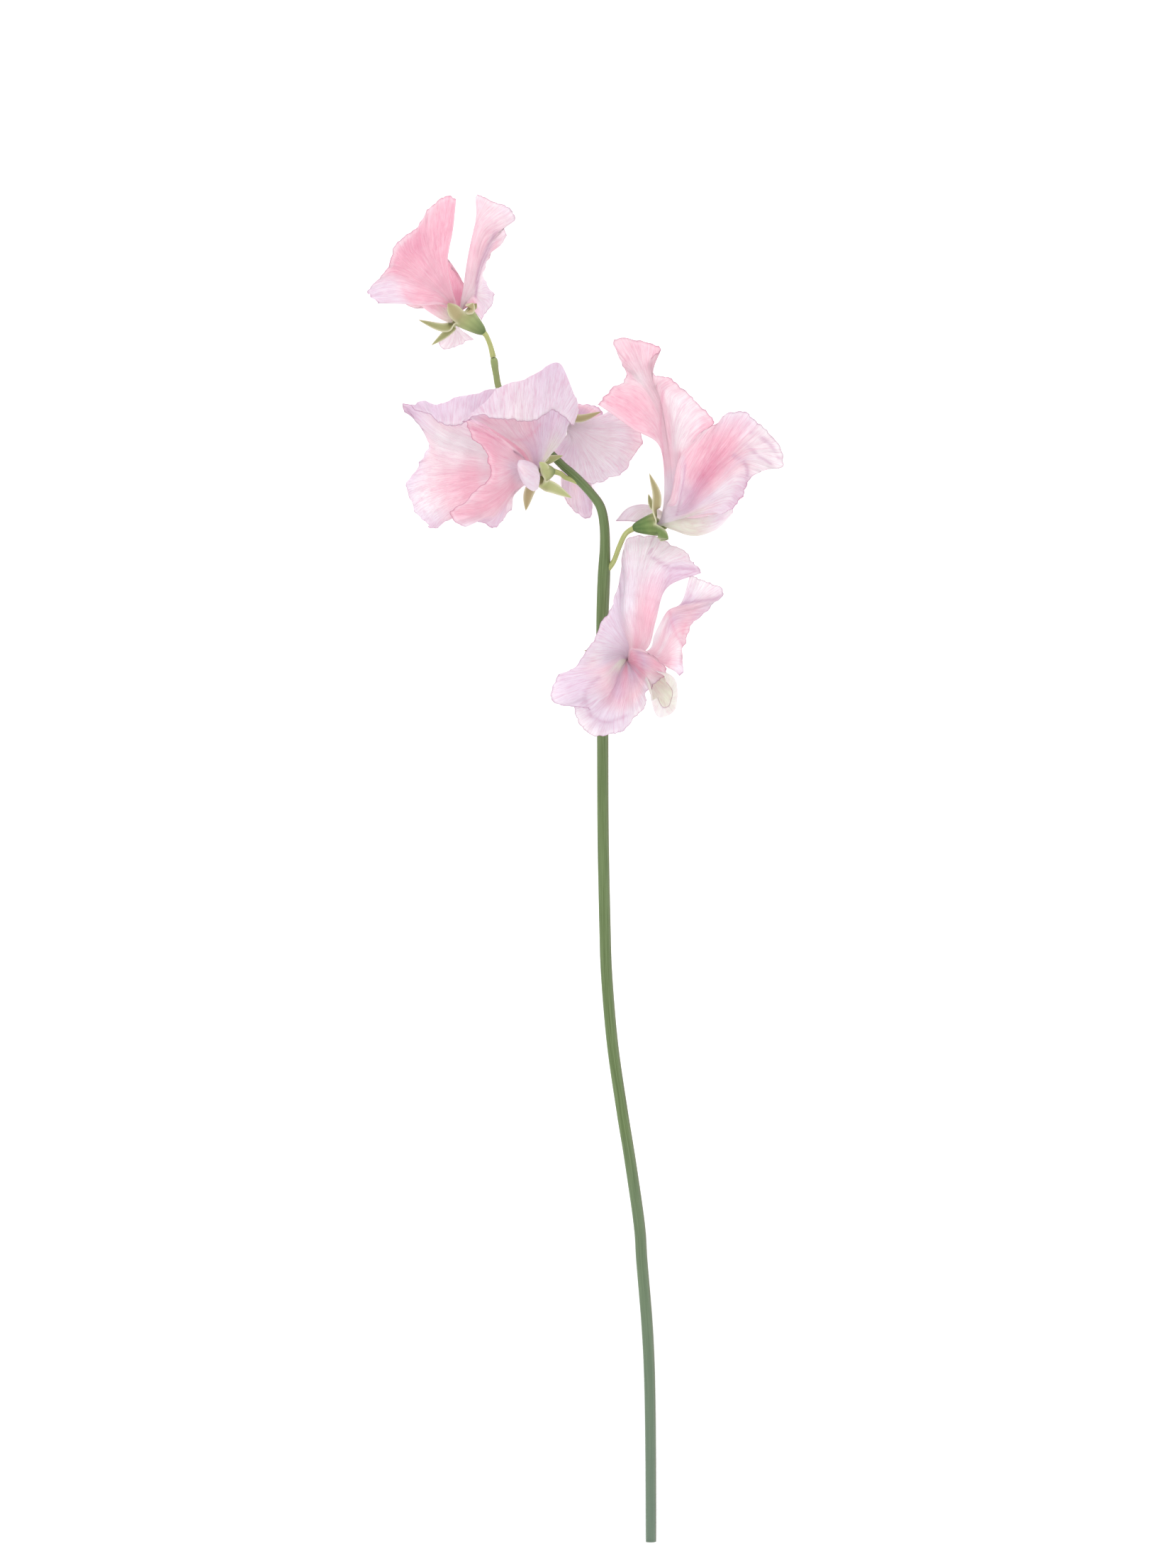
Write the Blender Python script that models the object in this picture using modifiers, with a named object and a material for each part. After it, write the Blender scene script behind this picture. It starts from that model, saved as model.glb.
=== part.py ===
"""A cut sweet pea: one bare flower stem with five open florets, laid down on a table.

Lengths are written in millimetres. X runs across the flower head, Y along the stem from the
cut end to the tip, Z up from the table. Every floret has a stalk, a green calyx with five
teeth, an upright standard, two wings and a keel.
"""
import math

import bpy
import numpy as np

MM = 0.001
CENTRE_X, CENTRE_Y = -9.08, 181.5   # middle of the whole flower, put on the origin
PETAL_THICKNESS = 0.45
CALYX_THICKNESS = 0.45
STALK_RADIUS = 0.7
CLAW_RADIUS = (0.95, 1.9)           # how far the petal claws stand from the floret axis
CALYX_PROFILE = ((0.0, 0.85), (0.12, 1.8), (0.4, 2.6), (0.75, 3.05), (1.0, 3.3))
TEETH_ANGLES = (36, 108, 180, 252, 324)

# Peduncle: x, y, z and radius along its middle.
PEDUNCLE = (
    (11.2, 0, 1.4, 1.4), (11.1, 24, 2.2, 1.45), (10.8, 44, 3.0, 1.5), (10.1, 59, 3.8, 1.55),
    (8.7, 76, 4.9, 1.55), (8.0, 86, 5.6, 1.55), (5.5, 103.5, 7.0, 1.55), (3.4, 116.5, 8.2, 1.55),
    (0.8, 134.5, 9.9, 1.55), (-0.8, 153, 11.7, 1.55), (-1.3, 167, 13, 1.55),
    (-1.8, 192.5, 15.5, 1.55), (-1.9, 217.5, 18, 1.55), (-2.0, 235, 19.6, 1.6),
    (-2.0, 248.5, 20.8, 1.65), (-1.6, 260.5, 21.6, 1.7), (-1.3, 268.5, 21.9, 1.4),
    (-1.5, 274.6, 22, 1.3), (-2.5, 279.3, 22, 1.25), (-4.8, 282.7, 22, 1.2),
    (-7.8, 286, 21.7, 1.2), (-10.5, 288.6, 21.2, 1.15), (-12.9, 290.7, 20.6, 1.1),
    (-17.5, 295.5, 19.3, 1.05), (-21.5, 300.5, 18.4, 1.0), (-26, 306, 18, 0.95),
    (-29.5, 310.8, 18.2, 0.9), (-30.5, 315, 18.9, 0.85), (-31, 318.3, 19.6, 1.0),
    (-31.2, 319.2, 19.8, 0.8),
)

# Florets. base: where the stalk meets the calyx. axis: the way the calyx opens. back: the side
# of the standard. teeth: middle and tip of the five calyx teeth. Each petal is a fan of veins
# between two angles round the axis; a vein is listed from the calyx mouth out to the margin.
TOP = {
    "base": (-33.6, 326, 21), "axis": (-0.78, 0.62, 0.05), "back": (0.62, 0.78, 0),
    "tube": 7.5,
    "stalk": ((-31.3, 319.6, 19.9), (-32, 322.5, 20.4), (-33, 325, 20.9), (-33.3, 325.7, 20.97)),
    "turn": 0,
    "teeth": (
        (1.0, (-36.5, 333.2, 18.4), (-35.7, 334, 18.7)),
        (1.1, (-43.6, 326.2, 19.8), (-47.8, 322.8, 19.2)),
        (1.2, (-45, 327.4, 22.8), (-51.2, 329.4, 22.3)),
        (1.7, (-41.8, 331.8, 25.6), (-43.4, 333.5, 26.6)),
        (1.2, (-36.3, 333.8, 24.6), (-35.6, 335.6, 25.2)),
    ),
    "standard": (-38, 38, (
        ((-36.5, 337, 23.5), (-35, 341, 26), (-33.5, 346, 28), (-31, 351.5, 28.5)),
        ((-37, 338, 24), (-35.2, 345, 27.5), (-33, 351, 29.5), (-25.5, 355.7, 29)),
        ((-37.6, 339, 24), (-36, 347, 28), (-33.5, 354, 30), (-27.2, 359.2, 30)),
        ((-38.3, 339, 23.5), (-37, 348, 26.5), (-35, 356, 28), (-31, 360.7, 28.5)),
        ((-39, 339, 22.5), (-37.6, 348, 24), (-35.6, 357, 24), (-35.9, 363, 22)),
        ((-38.5, 339, 21), (-37, 348, 20.5), (-35, 355, 19.5), (-32, 359, 18)),
        ((-37.6, 338, 19.5), (-35, 345, 17.5), (-32, 350, 15.5), (-28, 352.7, 14)),
        ((-37, 337.8, 18.9), (-35.4, 341.5, 16.8), (-34.4, 343.5, 15.2), (-33.7, 344.8, 14.4)),
        ((-36.5, 337, 18.2), (-35, 338.8, 15.6), (-34, 340, 13.6), (-32.9, 339.6, 12)),
        ((-36.8, 336.6, 18), (-34.4, 336.4, 15), (-32.6, 336, 13), (-31.3, 335, 12)),
        ((-36.8, 335.9, 17.7), (-35, 334.4, 15), (-34, 333, 13), (-33.7, 331.2, 12)),
    )),
    "wing_right": (-69, -121, (
        ((-42.5, 338.5, 26), (-43.4, 345, 28.5), (-42, 353, 30), (-41.2, 361.3, 29)),
        ((-43, 338, 26.8), (-45, 346, 31), (-44.5, 355, 32.5), (-44, 362, 31)),
        ((-43.5, 337.5, 27), (-47, 345, 33), (-48, 352, 34), (-47.5, 359.3, 32)),
        ((-44, 337, 27), (-48.5, 343.5, 34), (-51.5, 348.5, 33.5), (-52, 353.3, 32)),
        ((-44.5, 336.5, 27), (-49.5, 341, 34), (-54.5, 346.5, 31.5), (-56.6, 349.5, 33)),
        ((-45, 336, 26.8), (-50.5, 339, 33.5), (-57, 342, 31.5), (-60.3, 341.3, 32)),
        ((-45, 335.2, 26.3), (-51, 336.8, 33), (-58.5, 338.5, 31.5), (-64.5, 337.2, 30.5)),
        ((-45, 334.2, 25.6), (-51.5, 334.5, 32), (-57.5, 335.5, 32), (-63.8, 335.2, 28.5)),
        ((-44.5, 333.3, 25), (-50, 333, 29.5), (-55.5, 333.3, 29.5), (-62, 333.4, 26.5)),
    )),
    "wing_left": (69, 135, (
        ((-40.6, 336.5, 19), (-40.2, 339.5, 17.5), (-41, 342.5, 16), (-43.5, 346, 15)),
        ((-42, 336.5, 18.5), (-44, 341, 15.5), (-46.5, 346, 14), (-49, 350, 13.5)),
        ((-43, 335.5, 18), (-46.5, 339.5, 14), (-50.5, 343, 12), (-54, 346, 12)),
        ((-43.5, 334.5, 18), (-48, 336.5, 13.5), (-53, 338.5, 11.5), (-57, 339.5, 11.5)),
        ((-43.5, 333.2, 18), (-47.5, 333.8, 14.5), (-52, 334.3, 12.5), (-56, 334.8, 12.5)),
        ((-43, 332.3, 17.6), (-43.8, 332.2, 16.4), (-44.6, 332, 15.6), (-45.4, 331.7, 15.2)),
        ((-42.6, 331.2, 17.4), (-42.9, 330.4, 15.8), (-43.2, 329.6, 14.8), (-43.6, 329, 14.2)),
        ((-42.8, 330.8, 17.2), (-42.8, 327.6, 14), (-44, 325.2, 12), (-46, 323.4, 10.5)),
        ((-42.4, 330.2, 17.1), (-41.8, 327, 14), (-42, 324.6, 11.6), (-43, 322.6, 10)),
        ((-42, 329.7, 17), (-40.8, 326.9, 14), (-40, 325.2, 11.8), (-39.4, 323.6, 10)),
        ((-41.7, 329.3, 16.9), (-39.8, 327, 14.2), (-38.4, 326.2, 12.4), (-36.8, 325.2, 10.6)),
    )),
    "keel": (-152, -208, (
        ((-43, 331.5, 22.8), (-46.5, 334, 23), (-49.5, 336.5, 22.6), (-51, 339, 21.7)),
        ((-43, 330, 23), (-47, 332, 23.3), (-50.5, 334.8, 22.7), (-51.5, 338, 21.8)),
        ((-43, 329, 21.3), (-47.3, 331, 21.3), (-51, 334, 21.3), (-52, 337.5, 21.3)),
        ((-43, 330, 19.6), (-47, 332, 19.4), (-50.5, 334.8, 20), (-51.5, 338, 20.9)),
        ((-43, 331.5, 19.8), (-46.5, 334, 19.6), (-49.5, 336.5, 20.1), (-51, 339, 20.9)),
    )),
}

LEFT = {
    "base": (-15, 288.9, 23), "axis": (-0.8, -0.15, 0.55), "back": (-0.57, 0.32, -0.76),
    "tube": 5.0,
    "stalk": ((-11.9, 287.2, 21.7), (-13.2, 288.2, 22.1), (-14.7, 288.85, 22.8)),
    "turn": 20,
    "teeth": (
        (1.4, (-21.8, 282.5, 22.8), (-22.5, 278.3, 22)),
        (2.1, (-15.2, 284.3, 27.2), (-10.2, 281.6, 26)),
        (1.2, (-17.6, 289.8, 30.3), (-18.8, 291, 31.4)),
        (1.0, (-17.2, 292.2, 26.4), (-16.6, 293, 26.3)),
        (1.2, (-16.6, 291.8, 22.6), (-12.6, 293, 23.4)),
    ),
    "standard": (-40, 40, (
        ((-23, 294, 23.5), (-28, 300, 22.5), (-32, 305.5, 22.5), (-34, 310, 25), (-36, 303.5, 28)),
        ((-24, 293.5, 23.3), (-31, 299.5, 21), (-37, 305, 21), (-40, 308.6, 24), (-41, 300.6, 28)),
        ((-25, 293, 23), (-34, 298.5, 19), (-42, 303, 17), (-46, 307, 20), (-45.5, 302, 25)),
        ((-25.5, 292.3, 23), (-36, 297, 18.5), (-45, 302, 15), (-51, 307.5, 18), (-49.5, 304.5, 22)),
        ((-26, 291.5, 23), (-38, 295.5, 18), (-46, 299.5, 13), (-52.5, 304.5, 13), (-55.8, 306.8, 16)),
        ((-26, 290.5, 23), (-38.5, 293.5, 18), (-45, 296, 12.5), (-48.3, 297.5, 9.5), (-49.5, 299.3, 9)),
        ((-26, 289.5, 23), (-39, 291, 18.5), (-45.5, 292.5, 13), (-48.5, 293.5, 8.5), (-50, 293.3, 6)),
        ((-26, 288.5, 23), (-39, 288.5, 19.5), (-47, 288.5, 13), (-51.5, 288, 6), (-54.2, 287.3, 1.5)),
        ((-25.8, 287.5, 23), (-38.5, 286, 20), (-46, 284.5, 14), (-51, 283, 6), (-54, 281.5, 0.1)),
        ((-25.5, 286.7, 23), (-37.5, 283.5, 20.5), (-44, 281, 15.5), (-48.5, 278.5, 7.5), (-50.5, 276.8, 2)),
        ((-25, 286, 23), (-36, 281.5, 21), (-42, 279, 17), (-46, 276.8, 11), (-48.3, 274.2, 6)),
        ((-24.5, 285.5, 23), (-34.5, 280.5, 21.5), (-39.5, 278, 18.5), (-42.5, 276.3, 14), (-44, 275.6, 10)),
    )),
    "wing_right": (-108, -69, (
        ((-16.2, 292.4, 31.5), (-12.3, 297, 30), (-11, 301, 30.5), (-8.5, 305, 32), (-10, 300.2, 36)),
        ((-16.9, 293, 30.9), (-13.8, 299.5, 30), (-12, 306, 30.5), (-9.8, 310, 33), (-13.5, 304, 37.5)),
        ((-17.4, 293.4, 30.2), (-16, 301, 29.6), (-15, 309, 30.5), (-13.5, 317.3, 33), (-15.5, 304.4, 38.5)),
        ((-18.3, 293.7, 29.8), (-18.5, 301, 29.4), (-18.5, 309, 30.5), (-18, 315.2, 33.5), (-19, 302.1, 39)),
        ((-19.6, 293.8, 29.6), (-22, 300.5, 29.3), (-23, 307.5, 30.5), (-24, 312.4, 34), (-24, 301.6, 39.5)),
        ((-20.8, 293.8, 29.4), (-25, 299.8, 29.3), (-28, 305.5, 30.5), (-30, 310.3, 34), (-29, 302.2, 39.5)),
        ((-21.9, 293.8, 29.2), (-27.5, 299, 29.5), (-32, 303, 31), (-35, 305, 34), (-34, 303, 38.5)),
        ((-22.8, 293.8, 29), (-28.5, 298, 30), (-33.5, 301, 32), (-38, 302.8, 34), (-39.3, 302, 35.5)),
    )),
    "wing_left": (69, 121, (
        ((-24, 292, 27.5), (-28, 295, 29.5), (-33, 298.6, 31.5), (-38, 300.6, 33.5)),
        ((-24.2, 291.2, 27.6), (-28.5, 293.5, 31), (-32.5, 296, 33), (-36, 296.8, 34.5)),
        ((-24.3, 290.4, 27.7), (-28.5, 291.3, 32), (-31.3, 292.5, 34.5), (-33, 293.3, 35.5)),
        ((-24.3, 289.5, 27.8), (-28.3, 289.3, 32.5), (-30.6, 289.3, 35), (-31.8, 289.5, 36)),
        ((-24.3, 288.6, 27.8), (-28.3, 286.7, 32.5), (-30.8, 286, 35), (-32.5, 286.3, 36)),
        ((-24.3, 287.7, 27.8), (-28.8, 284, 32.3), (-33, 281.5, 33.5), (-38, 281, 35.5)),
        ((-24.2, 286.9, 27.8), (-29, 281.5, 32), (-34.5, 278, 32.5), (-42.5, 277, 34)),
        ((-24, 286.2, 27.7), (-28.5, 280.5, 31.5), (-33, 276.8, 32), (-39, 274, 31)),
        ((-23.7, 285.7, 27.6), (-27.8, 280.5, 31.3), (-31, 276.8, 31.5), (-35, 275.2, 30)),
        ((-23.4, 285.3, 27.5), (-27, 281, 30.8), (-29, 277, 31), (-30.3, 273.6, 29.5)),
        ((-23.1, 285, 27.4), (-26, 281.8, 30), (-27.3, 279.5, 30), (-27.5, 277, 29)),
        ((-22.8, 284.9, 27.2), (-25, 283.5, 29.3), (-25.6, 282.5, 29.5), (-25.7, 281.5, 29)),
    )),
    "keel": (-152, -208, (
        ((-19.8, 290, 28.8), (-21.8, 291, 30.5), (-23.5, 291.5, 32), (-24.5, 291.3, 33)),
        ((-19.3, 289.5, 30), (-21.3, 290.7, 32.5), (-23.2, 291, 34), (-24.6, 291, 34)),
        ((-18.8, 286.8, 31), (-20.8, 287.3, 34), (-23, 288.8, 35.3), (-24.8, 290.3, 34.3)),
        ((-19.2, 284.2, 29.8), (-21.3, 284.6, 32.3), (-23.3, 286.5, 34), (-24.8, 289.6, 34)),
        ((-19.9, 283.6, 28.5), (-22, 284.2, 30.3), (-23.6, 286.2, 32), (-24.7, 289.3, 33)),
    )),
}

RIGHT = {
    "base": (6.2, 273.6, 24), "axis": (0.98, 0.16, 0.08), "back": (-0.16, 0.98, 0),
    "tube": 6.5,
    "stalk": ((1.1, 264.8, 22.2), (2.5, 268.5, 22.9), (4.2, 272, 23.5), (5.75, 273.48, 23.95)),
    "turn": 18,
    "teeth": (
        (1.0, (12.6, 282.2, 28.2), (10.6, 288.1, 28.4)),
        (1.6, (14.2, 272.6, 28.4), (15.7, 270.9, 28.4)),
        (1.3, (14.4, 271.2, 23.6), (15.8, 270.6, 23.4)),
        (1.2, (13.8, 274, 20.3), (15.6, 273.8, 19.6)),
        (0.8, (11.1, 280.2, 23.4), (10.4, 282.7, 23.2)),
    ),
    "standard": (38, -38, (
        ((14.6, 284, 26), (13.3, 295.2, 31), (6, 299.8, 34.5), (-3, 306.2, 35.5)),
        ((14.9, 284, 26), (13.2, 297, 31.5), (6.5, 303.5, 36), (-1.5, 308.3, 35)),
        ((15.2, 284, 26), (13.3, 299, 32), (8, 307, 36.5), (1, 310.6, 34)),
        ((15.5, 284, 26), (13.5, 301, 32), (9, 310, 36), (3.5, 312.3, 33)),
        ((15.6, 284, 26), (13.5, 302, 31.8), (8.6, 311.6, 34.5), (4.1, 315.8, 32)),
        ((15.8, 284, 26), (13.6, 303, 31.5), (8.5, 312.5, 33), (1, 323.1, 31)),
        ((16.1, 284, 25.8), (13.7, 304, 31), (9.5, 313.5, 31), (6.3, 323.9, 28.5)),
        ((16.4, 284, 25.6), (13.9, 305, 30.5), (11.2, 314, 30.5), (13.5, 321.5, 30)),
        ((16.5, 284, 25.5), (14, 304.5, 30.3), (11.6, 313, 30.4), (10.6, 318, 30)),
        ((16.6, 284, 25.4), (14.1, 304, 30.1), (12, 311, 30.5), (12, 314.4, 30.4)),
        ((16.7, 284, 25.4), (14.4, 303.5, 29.8), (12.8, 310.5, 30.6), (15.8, 313.6, 31)),
        ((17, 284, 25.2), (15.8, 302, 27.5), (15, 309, 28), (18.5, 311.6, 29.5)),
        ((17.4, 284, 25), (17.5, 299, 26.5), (20, 305.5, 27), (22.5, 307.8, 28)),
        ((17.8, 284, 24.8), (18.5, 295.5, 26), (23, 302.5, 28), (26.3, 304, 29.5)),
        ((18.2, 284, 24.6), (18.8, 291.5, 25), (22.5, 297.5, 27.5), (27.6, 301.2, 30.5)),
        ((18.5, 284, 24.4), (18.8, 289, 24.5), (20.5, 293.5, 26), (25, 299, 29)),
    )),
    "wing_left": (69, 121, (
        ((15.3, 278.8, 26.6), (18.5, 280, 27.5), (21.5, 289, 29), (24.6, 295, 31), (28.2, 301, 33)),
        ((15.4, 278.5, 27.1), (19, 279.8, 28.5), (23.5, 289, 30), (28, 297, 32), (31.5, 304, 34.5)),
        ((15.6, 278.2, 27.6), (19.5, 279.5, 29), (25, 288.8, 30.5), (31, 297, 32), (36, 304.2, 34.5)),
        ((15.7, 277.9, 28), (20, 279.2, 29.3), (26.5, 288.3, 30), (33, 296, 31), (38.2, 302.5, 33)),
        ((15.8, 277.6, 28.3), (20.3, 278.8, 29.5), (27, 287, 30), (34, 293.5, 30.5), (41.5, 300, 30)),
        ((15.9, 277.3, 28.5), (20.6, 278.5, 30), (27.5, 286, 31), (36, 293.3, 32), (45.5, 295, 29)),
        ((16, 277, 28.7), (20.8, 278.2, 30.5), (28, 285, 32.5), (37, 291.7, 33.5), (46.3, 289.8, 31)),
        ((16, 276.6, 28.8), (21, 278, 31), (28, 283.8, 33.8), (35, 290, 35), (41.5, 288.8, 33)),
        ((16, 276.2, 28.8), (21, 277.7, 31), (28, 282.5, 34.5), (33.5, 286.5, 36), (36.9, 286, 34.5)),
        ((16, 275.8, 28.7), (21, 277.3, 31), (27.5, 280.8, 34.3), (32.5, 283, 35.5), (35.6, 281.8, 33.5)),
        ((15.9, 275.4, 28.6), (20.8, 276.8, 30.5), (26.5, 278.8, 33.3), (30.5, 280, 34), (32.8, 279, 31.5)),
        ((15.8, 275, 28.4), (20.5, 276.3, 29.8), (25, 277.2, 31.5), (28, 277.5, 31.5), (29.5, 277, 30.5)),
    )),
    "wing_right": (-69, -140, (
        ((18, 279, 21.5), (22, 287, 17), (26, 294, 11), (30, 299, 6)),
        ((19.5, 279, 20.5), (25, 286.5, 15), (30.5, 293, 9), (35, 298, 3.5)),
        ((20.5, 278.5, 20), (27, 285, 14), (33.5, 289.5, 6.5), (39, 293, 0.15)),
        ((20.8, 278, 19.4), (27.5, 282.5, 14), (33, 284.5, 6.5), (37, 286, 0.5)),
        ((20.8, 277.5, 19.3), (26.5, 279.5, 14.2), (31, 280.5, 8.5), (34, 281, 4)),
        ((19.5, 276.5, 18.8), (22.5, 276.5, 16), (24.5, 276.5, 14.5), (26, 276.8, 13)),
        ((15.5, 276, 19.8), (16, 276, 18.5), (16.5, 276, 17.5), (17, 276, 17)),
        ((14.6, 277.6, 19.6), (10, 280, 18.8), (5, 279.2, 17.7), (1.5, 275.5, 17)),
    )),
    "keel": (152, 208, (
        ((17, 276.5, 26.5), (23, 276, 28), (29, 277.5, 27.5), (33, 279.5, 25)),
        ((17, 275, 27), (23, 273.8, 28.3), (29, 275.3, 27.5), (33, 278.5, 25)),
        ((16.5, 273.3, 24.6), (22.5, 271.5, 24.8), (28.5, 273.2, 24.8), (33, 277.5, 24.6)),
        ((17, 275, 22.2), (23, 273.8, 21.2), (29, 275.3, 21.8), (33, 278.5, 24)),
        ((17, 276.5, 22.6), (23, 276, 21.4), (29, 277.5, 22), (33, 279.5, 24)),
    )),
}

LOWER = {
    "base": (3.2, 240.3, 26), "axis": (0.2, -0.3, 0.93), "back": (-0.64, 0.77, 0.386),
    "tube": 6.5,
    "stalk": ((-0.9, 241.6, 22.1), (0.4, 241.5, 23), (2.3, 241, 24), (3.07, 240.55, 25.35)),
    "turn": 0,
    "teeth": (
        (1.1, (-2.3, 240.2, 31.3), (-6.8, 240.7, 30.8)),
        (1.2, (0.5, 233, 30.8), (-1.5, 230.5, 30)),
        (1.2, (8.2, 233.5, 29.3), (9.5, 231.2, 28.5)),
        (1.2, (9.8, 240.4, 31), (11.4, 240.8, 30.8)),
        (1.2, (4.2, 243.6, 31.5), (4, 246, 30.5)),
    ),
    "standard": (-45, 45, (
        ((10.2, 241.3, 36), (12.3, 248.5, 37), (15.2, 257.3, 35), (24.3, 261.3, 30)),
        ((9.5, 242, 36), (11.2, 250, 37), (16, 262.4, 33.5), (23, 263.6, 27.5)),
        ((8.7, 242.5, 35.8), (9.5, 252, 35.5), (12.5, 262.5, 30), (20, 267.2, 23)),
        ((7.8, 243, 35.6), (7.8, 253, 34), (9.5, 263, 27), (13.8, 270.7, 19.5)),
        ((6.8, 243, 35.4), (6, 253, 33), (6.8, 263, 26), (7, 271.8, 18.5)),
        ((6, 242.5, 35.2), (4, 251.5, 32.5), (4.6, 260.5, 26.5), (3.8, 268.3, 20.3)),
        ((5.2, 241.8, 35), (3, 249.5, 33.5), (2.8, 254.5, 31), (2.6, 259, 28)),
        ((5, 241.8, 35), (2.3, 247.3, 34), (1.2, 250.3, 32.5), (0.5, 252.6, 31)),
        ((4.3, 241, 34.8), (1, 244.5, 34.5), (-0.8, 246.2, 33.5), (-2.4, 247.4, 32)),
        ((3.8, 240.2, 34.5), (-0.5, 240.8, 34.5), (-3.3, 241, 34), (-5.8, 241, 33)),
        ((3.3, 239.3, 34.3), (-1, 237.6, 34), (-5, 236.2, 33.8), (-9.8, 235.9, 32.5)),
        ((3, 238.5, 34.6), (-1.5, 235.5, 35.5), (-8, 234, 36.5), (-14.4, 233, 35)),
        ((2.8, 237.8, 35), (-1.5, 233.3, 37), (-8, 231, 38.5), (-15.6, 228, 37.5)),
        ((2.9, 237.2, 35.2), (-1, 231.3, 37.7), (-6.5, 228.5, 39), (-13, 226, 38.5)),
        ((3.1, 236.8, 35.2), (0, 230.5, 38), (-3.5, 227.8, 39), (-6.8, 225.4, 38.8)),
    )),
    "wing_right": (-69, -121, (
        ((10.6, 241, 36), (12, 245, 38.5), (15.2, 250.6, 41.5), (19, 253, 41), (21.2, 260.3, 37.5)),
        ((11.3, 240.8, 36.5), (12.9, 244.8, 39), (15.6, 251, 42), (21.5, 253.4, 41.2), (26, 259, 37)),
        ((12, 240.5, 37), (13.8, 244.3, 39.5), (16, 250.5, 42.5), (23, 252.8, 41.5), (30.3, 255.6, 38.5)),
        ((12.6, 240, 37.3), (14.7, 243.5, 39.8), (16.7, 248.5, 42.5), (21, 249.8, 41.5), (25, 250.6, 39.5)),
        ((13.1, 239.4, 37.5), (15.5, 242.3, 40), (17.7, 245.7, 42.3), (19.7, 246.4, 41.6), (21.5, 246.6, 40.3)),
        ((13.5, 238.6, 37.5), (16, 240.8, 40), (18.5, 242.8, 42), (19.2, 242.6, 41.4), (19.6, 242, 40.8)),
        ((13.8, 237.9, 37.4), (16.3, 239, 39.8), (18.7, 239.6, 41.5), (19.3, 239, 41.3), (19.5, 238.3, 40.8)),
        ((14, 237.2, 37.2), (16.3, 237, 39.5), (18.5, 236.8, 41), (19.2, 236.3, 41), (19.4, 235.6, 40.6)),
        ((14, 236.6, 37), (15.8, 235.8, 38.8), (17.3, 235, 40), (18, 234.4, 40.2), (18.6, 233.8, 40)),
    )),
    "wing_left": (69, 121, (
        ((2.5, 235.3, 34), (-0.5, 230.8, 34.5), (-4, 227.5, 35.5), (-9.5, 225.5, 34.5)),
        ((3, 234.8, 34.4), (0.3, 229, 35.5), (-3.5, 224.5, 36.5), (-8.3, 221.2, 34.5)),
        ((3.6, 234.3, 34.8), (1.3, 227.8, 36.3), (-1.5, 222.8, 37), (-3.6, 217.7, 34.5)),
        ((4.4, 234, 35), (2.8, 227.3, 36.8), (1.3, 222.5, 37), (1, 218.5, 35)),
        ((5.2, 234, 35), (4.5, 227.8, 36.8), (4, 223.5, 37), (4.2, 219.7, 36)),
        ((5.8, 234.2, 34.8), (6.2, 228.5, 36), (6.8, 225.5, 36), (7.3, 223.4, 35.5)),
        ((6.3, 234.4, 34.4), (7.6, 230, 35.2), (8.6, 228, 35), (9.4, 226, 34.5)),
        ((6.7, 234.8, 34), (8.4, 232.2, 34.6), (9.4, 231, 34.3), (10, 230, 34)),
    )),
    "keel": (-152, -208, (
        ((9.3, 237, 35), (12.5, 235, 39), (14.5, 233.8, 42.5), (15, 232, 44.5)),
        ((10.5, 236, 34.3), (15.5, 234, 38), (17.6, 232, 42), (16.5, 229.5, 45)),
        ((10.5, 233.8, 33.5), (16, 228, 36), (17.4, 225, 40.5), (15.8, 226, 44.5)),
        ((9, 233.5, 35), (11.8, 227, 37.5), (13, 222.8, 41.5), (14, 225.5, 44.8)),
        ((8.7, 234.8, 36), (10.8, 231, 39.5), (11, 227.5, 43), (12.8, 228, 45.2)),
    )),
}

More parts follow.
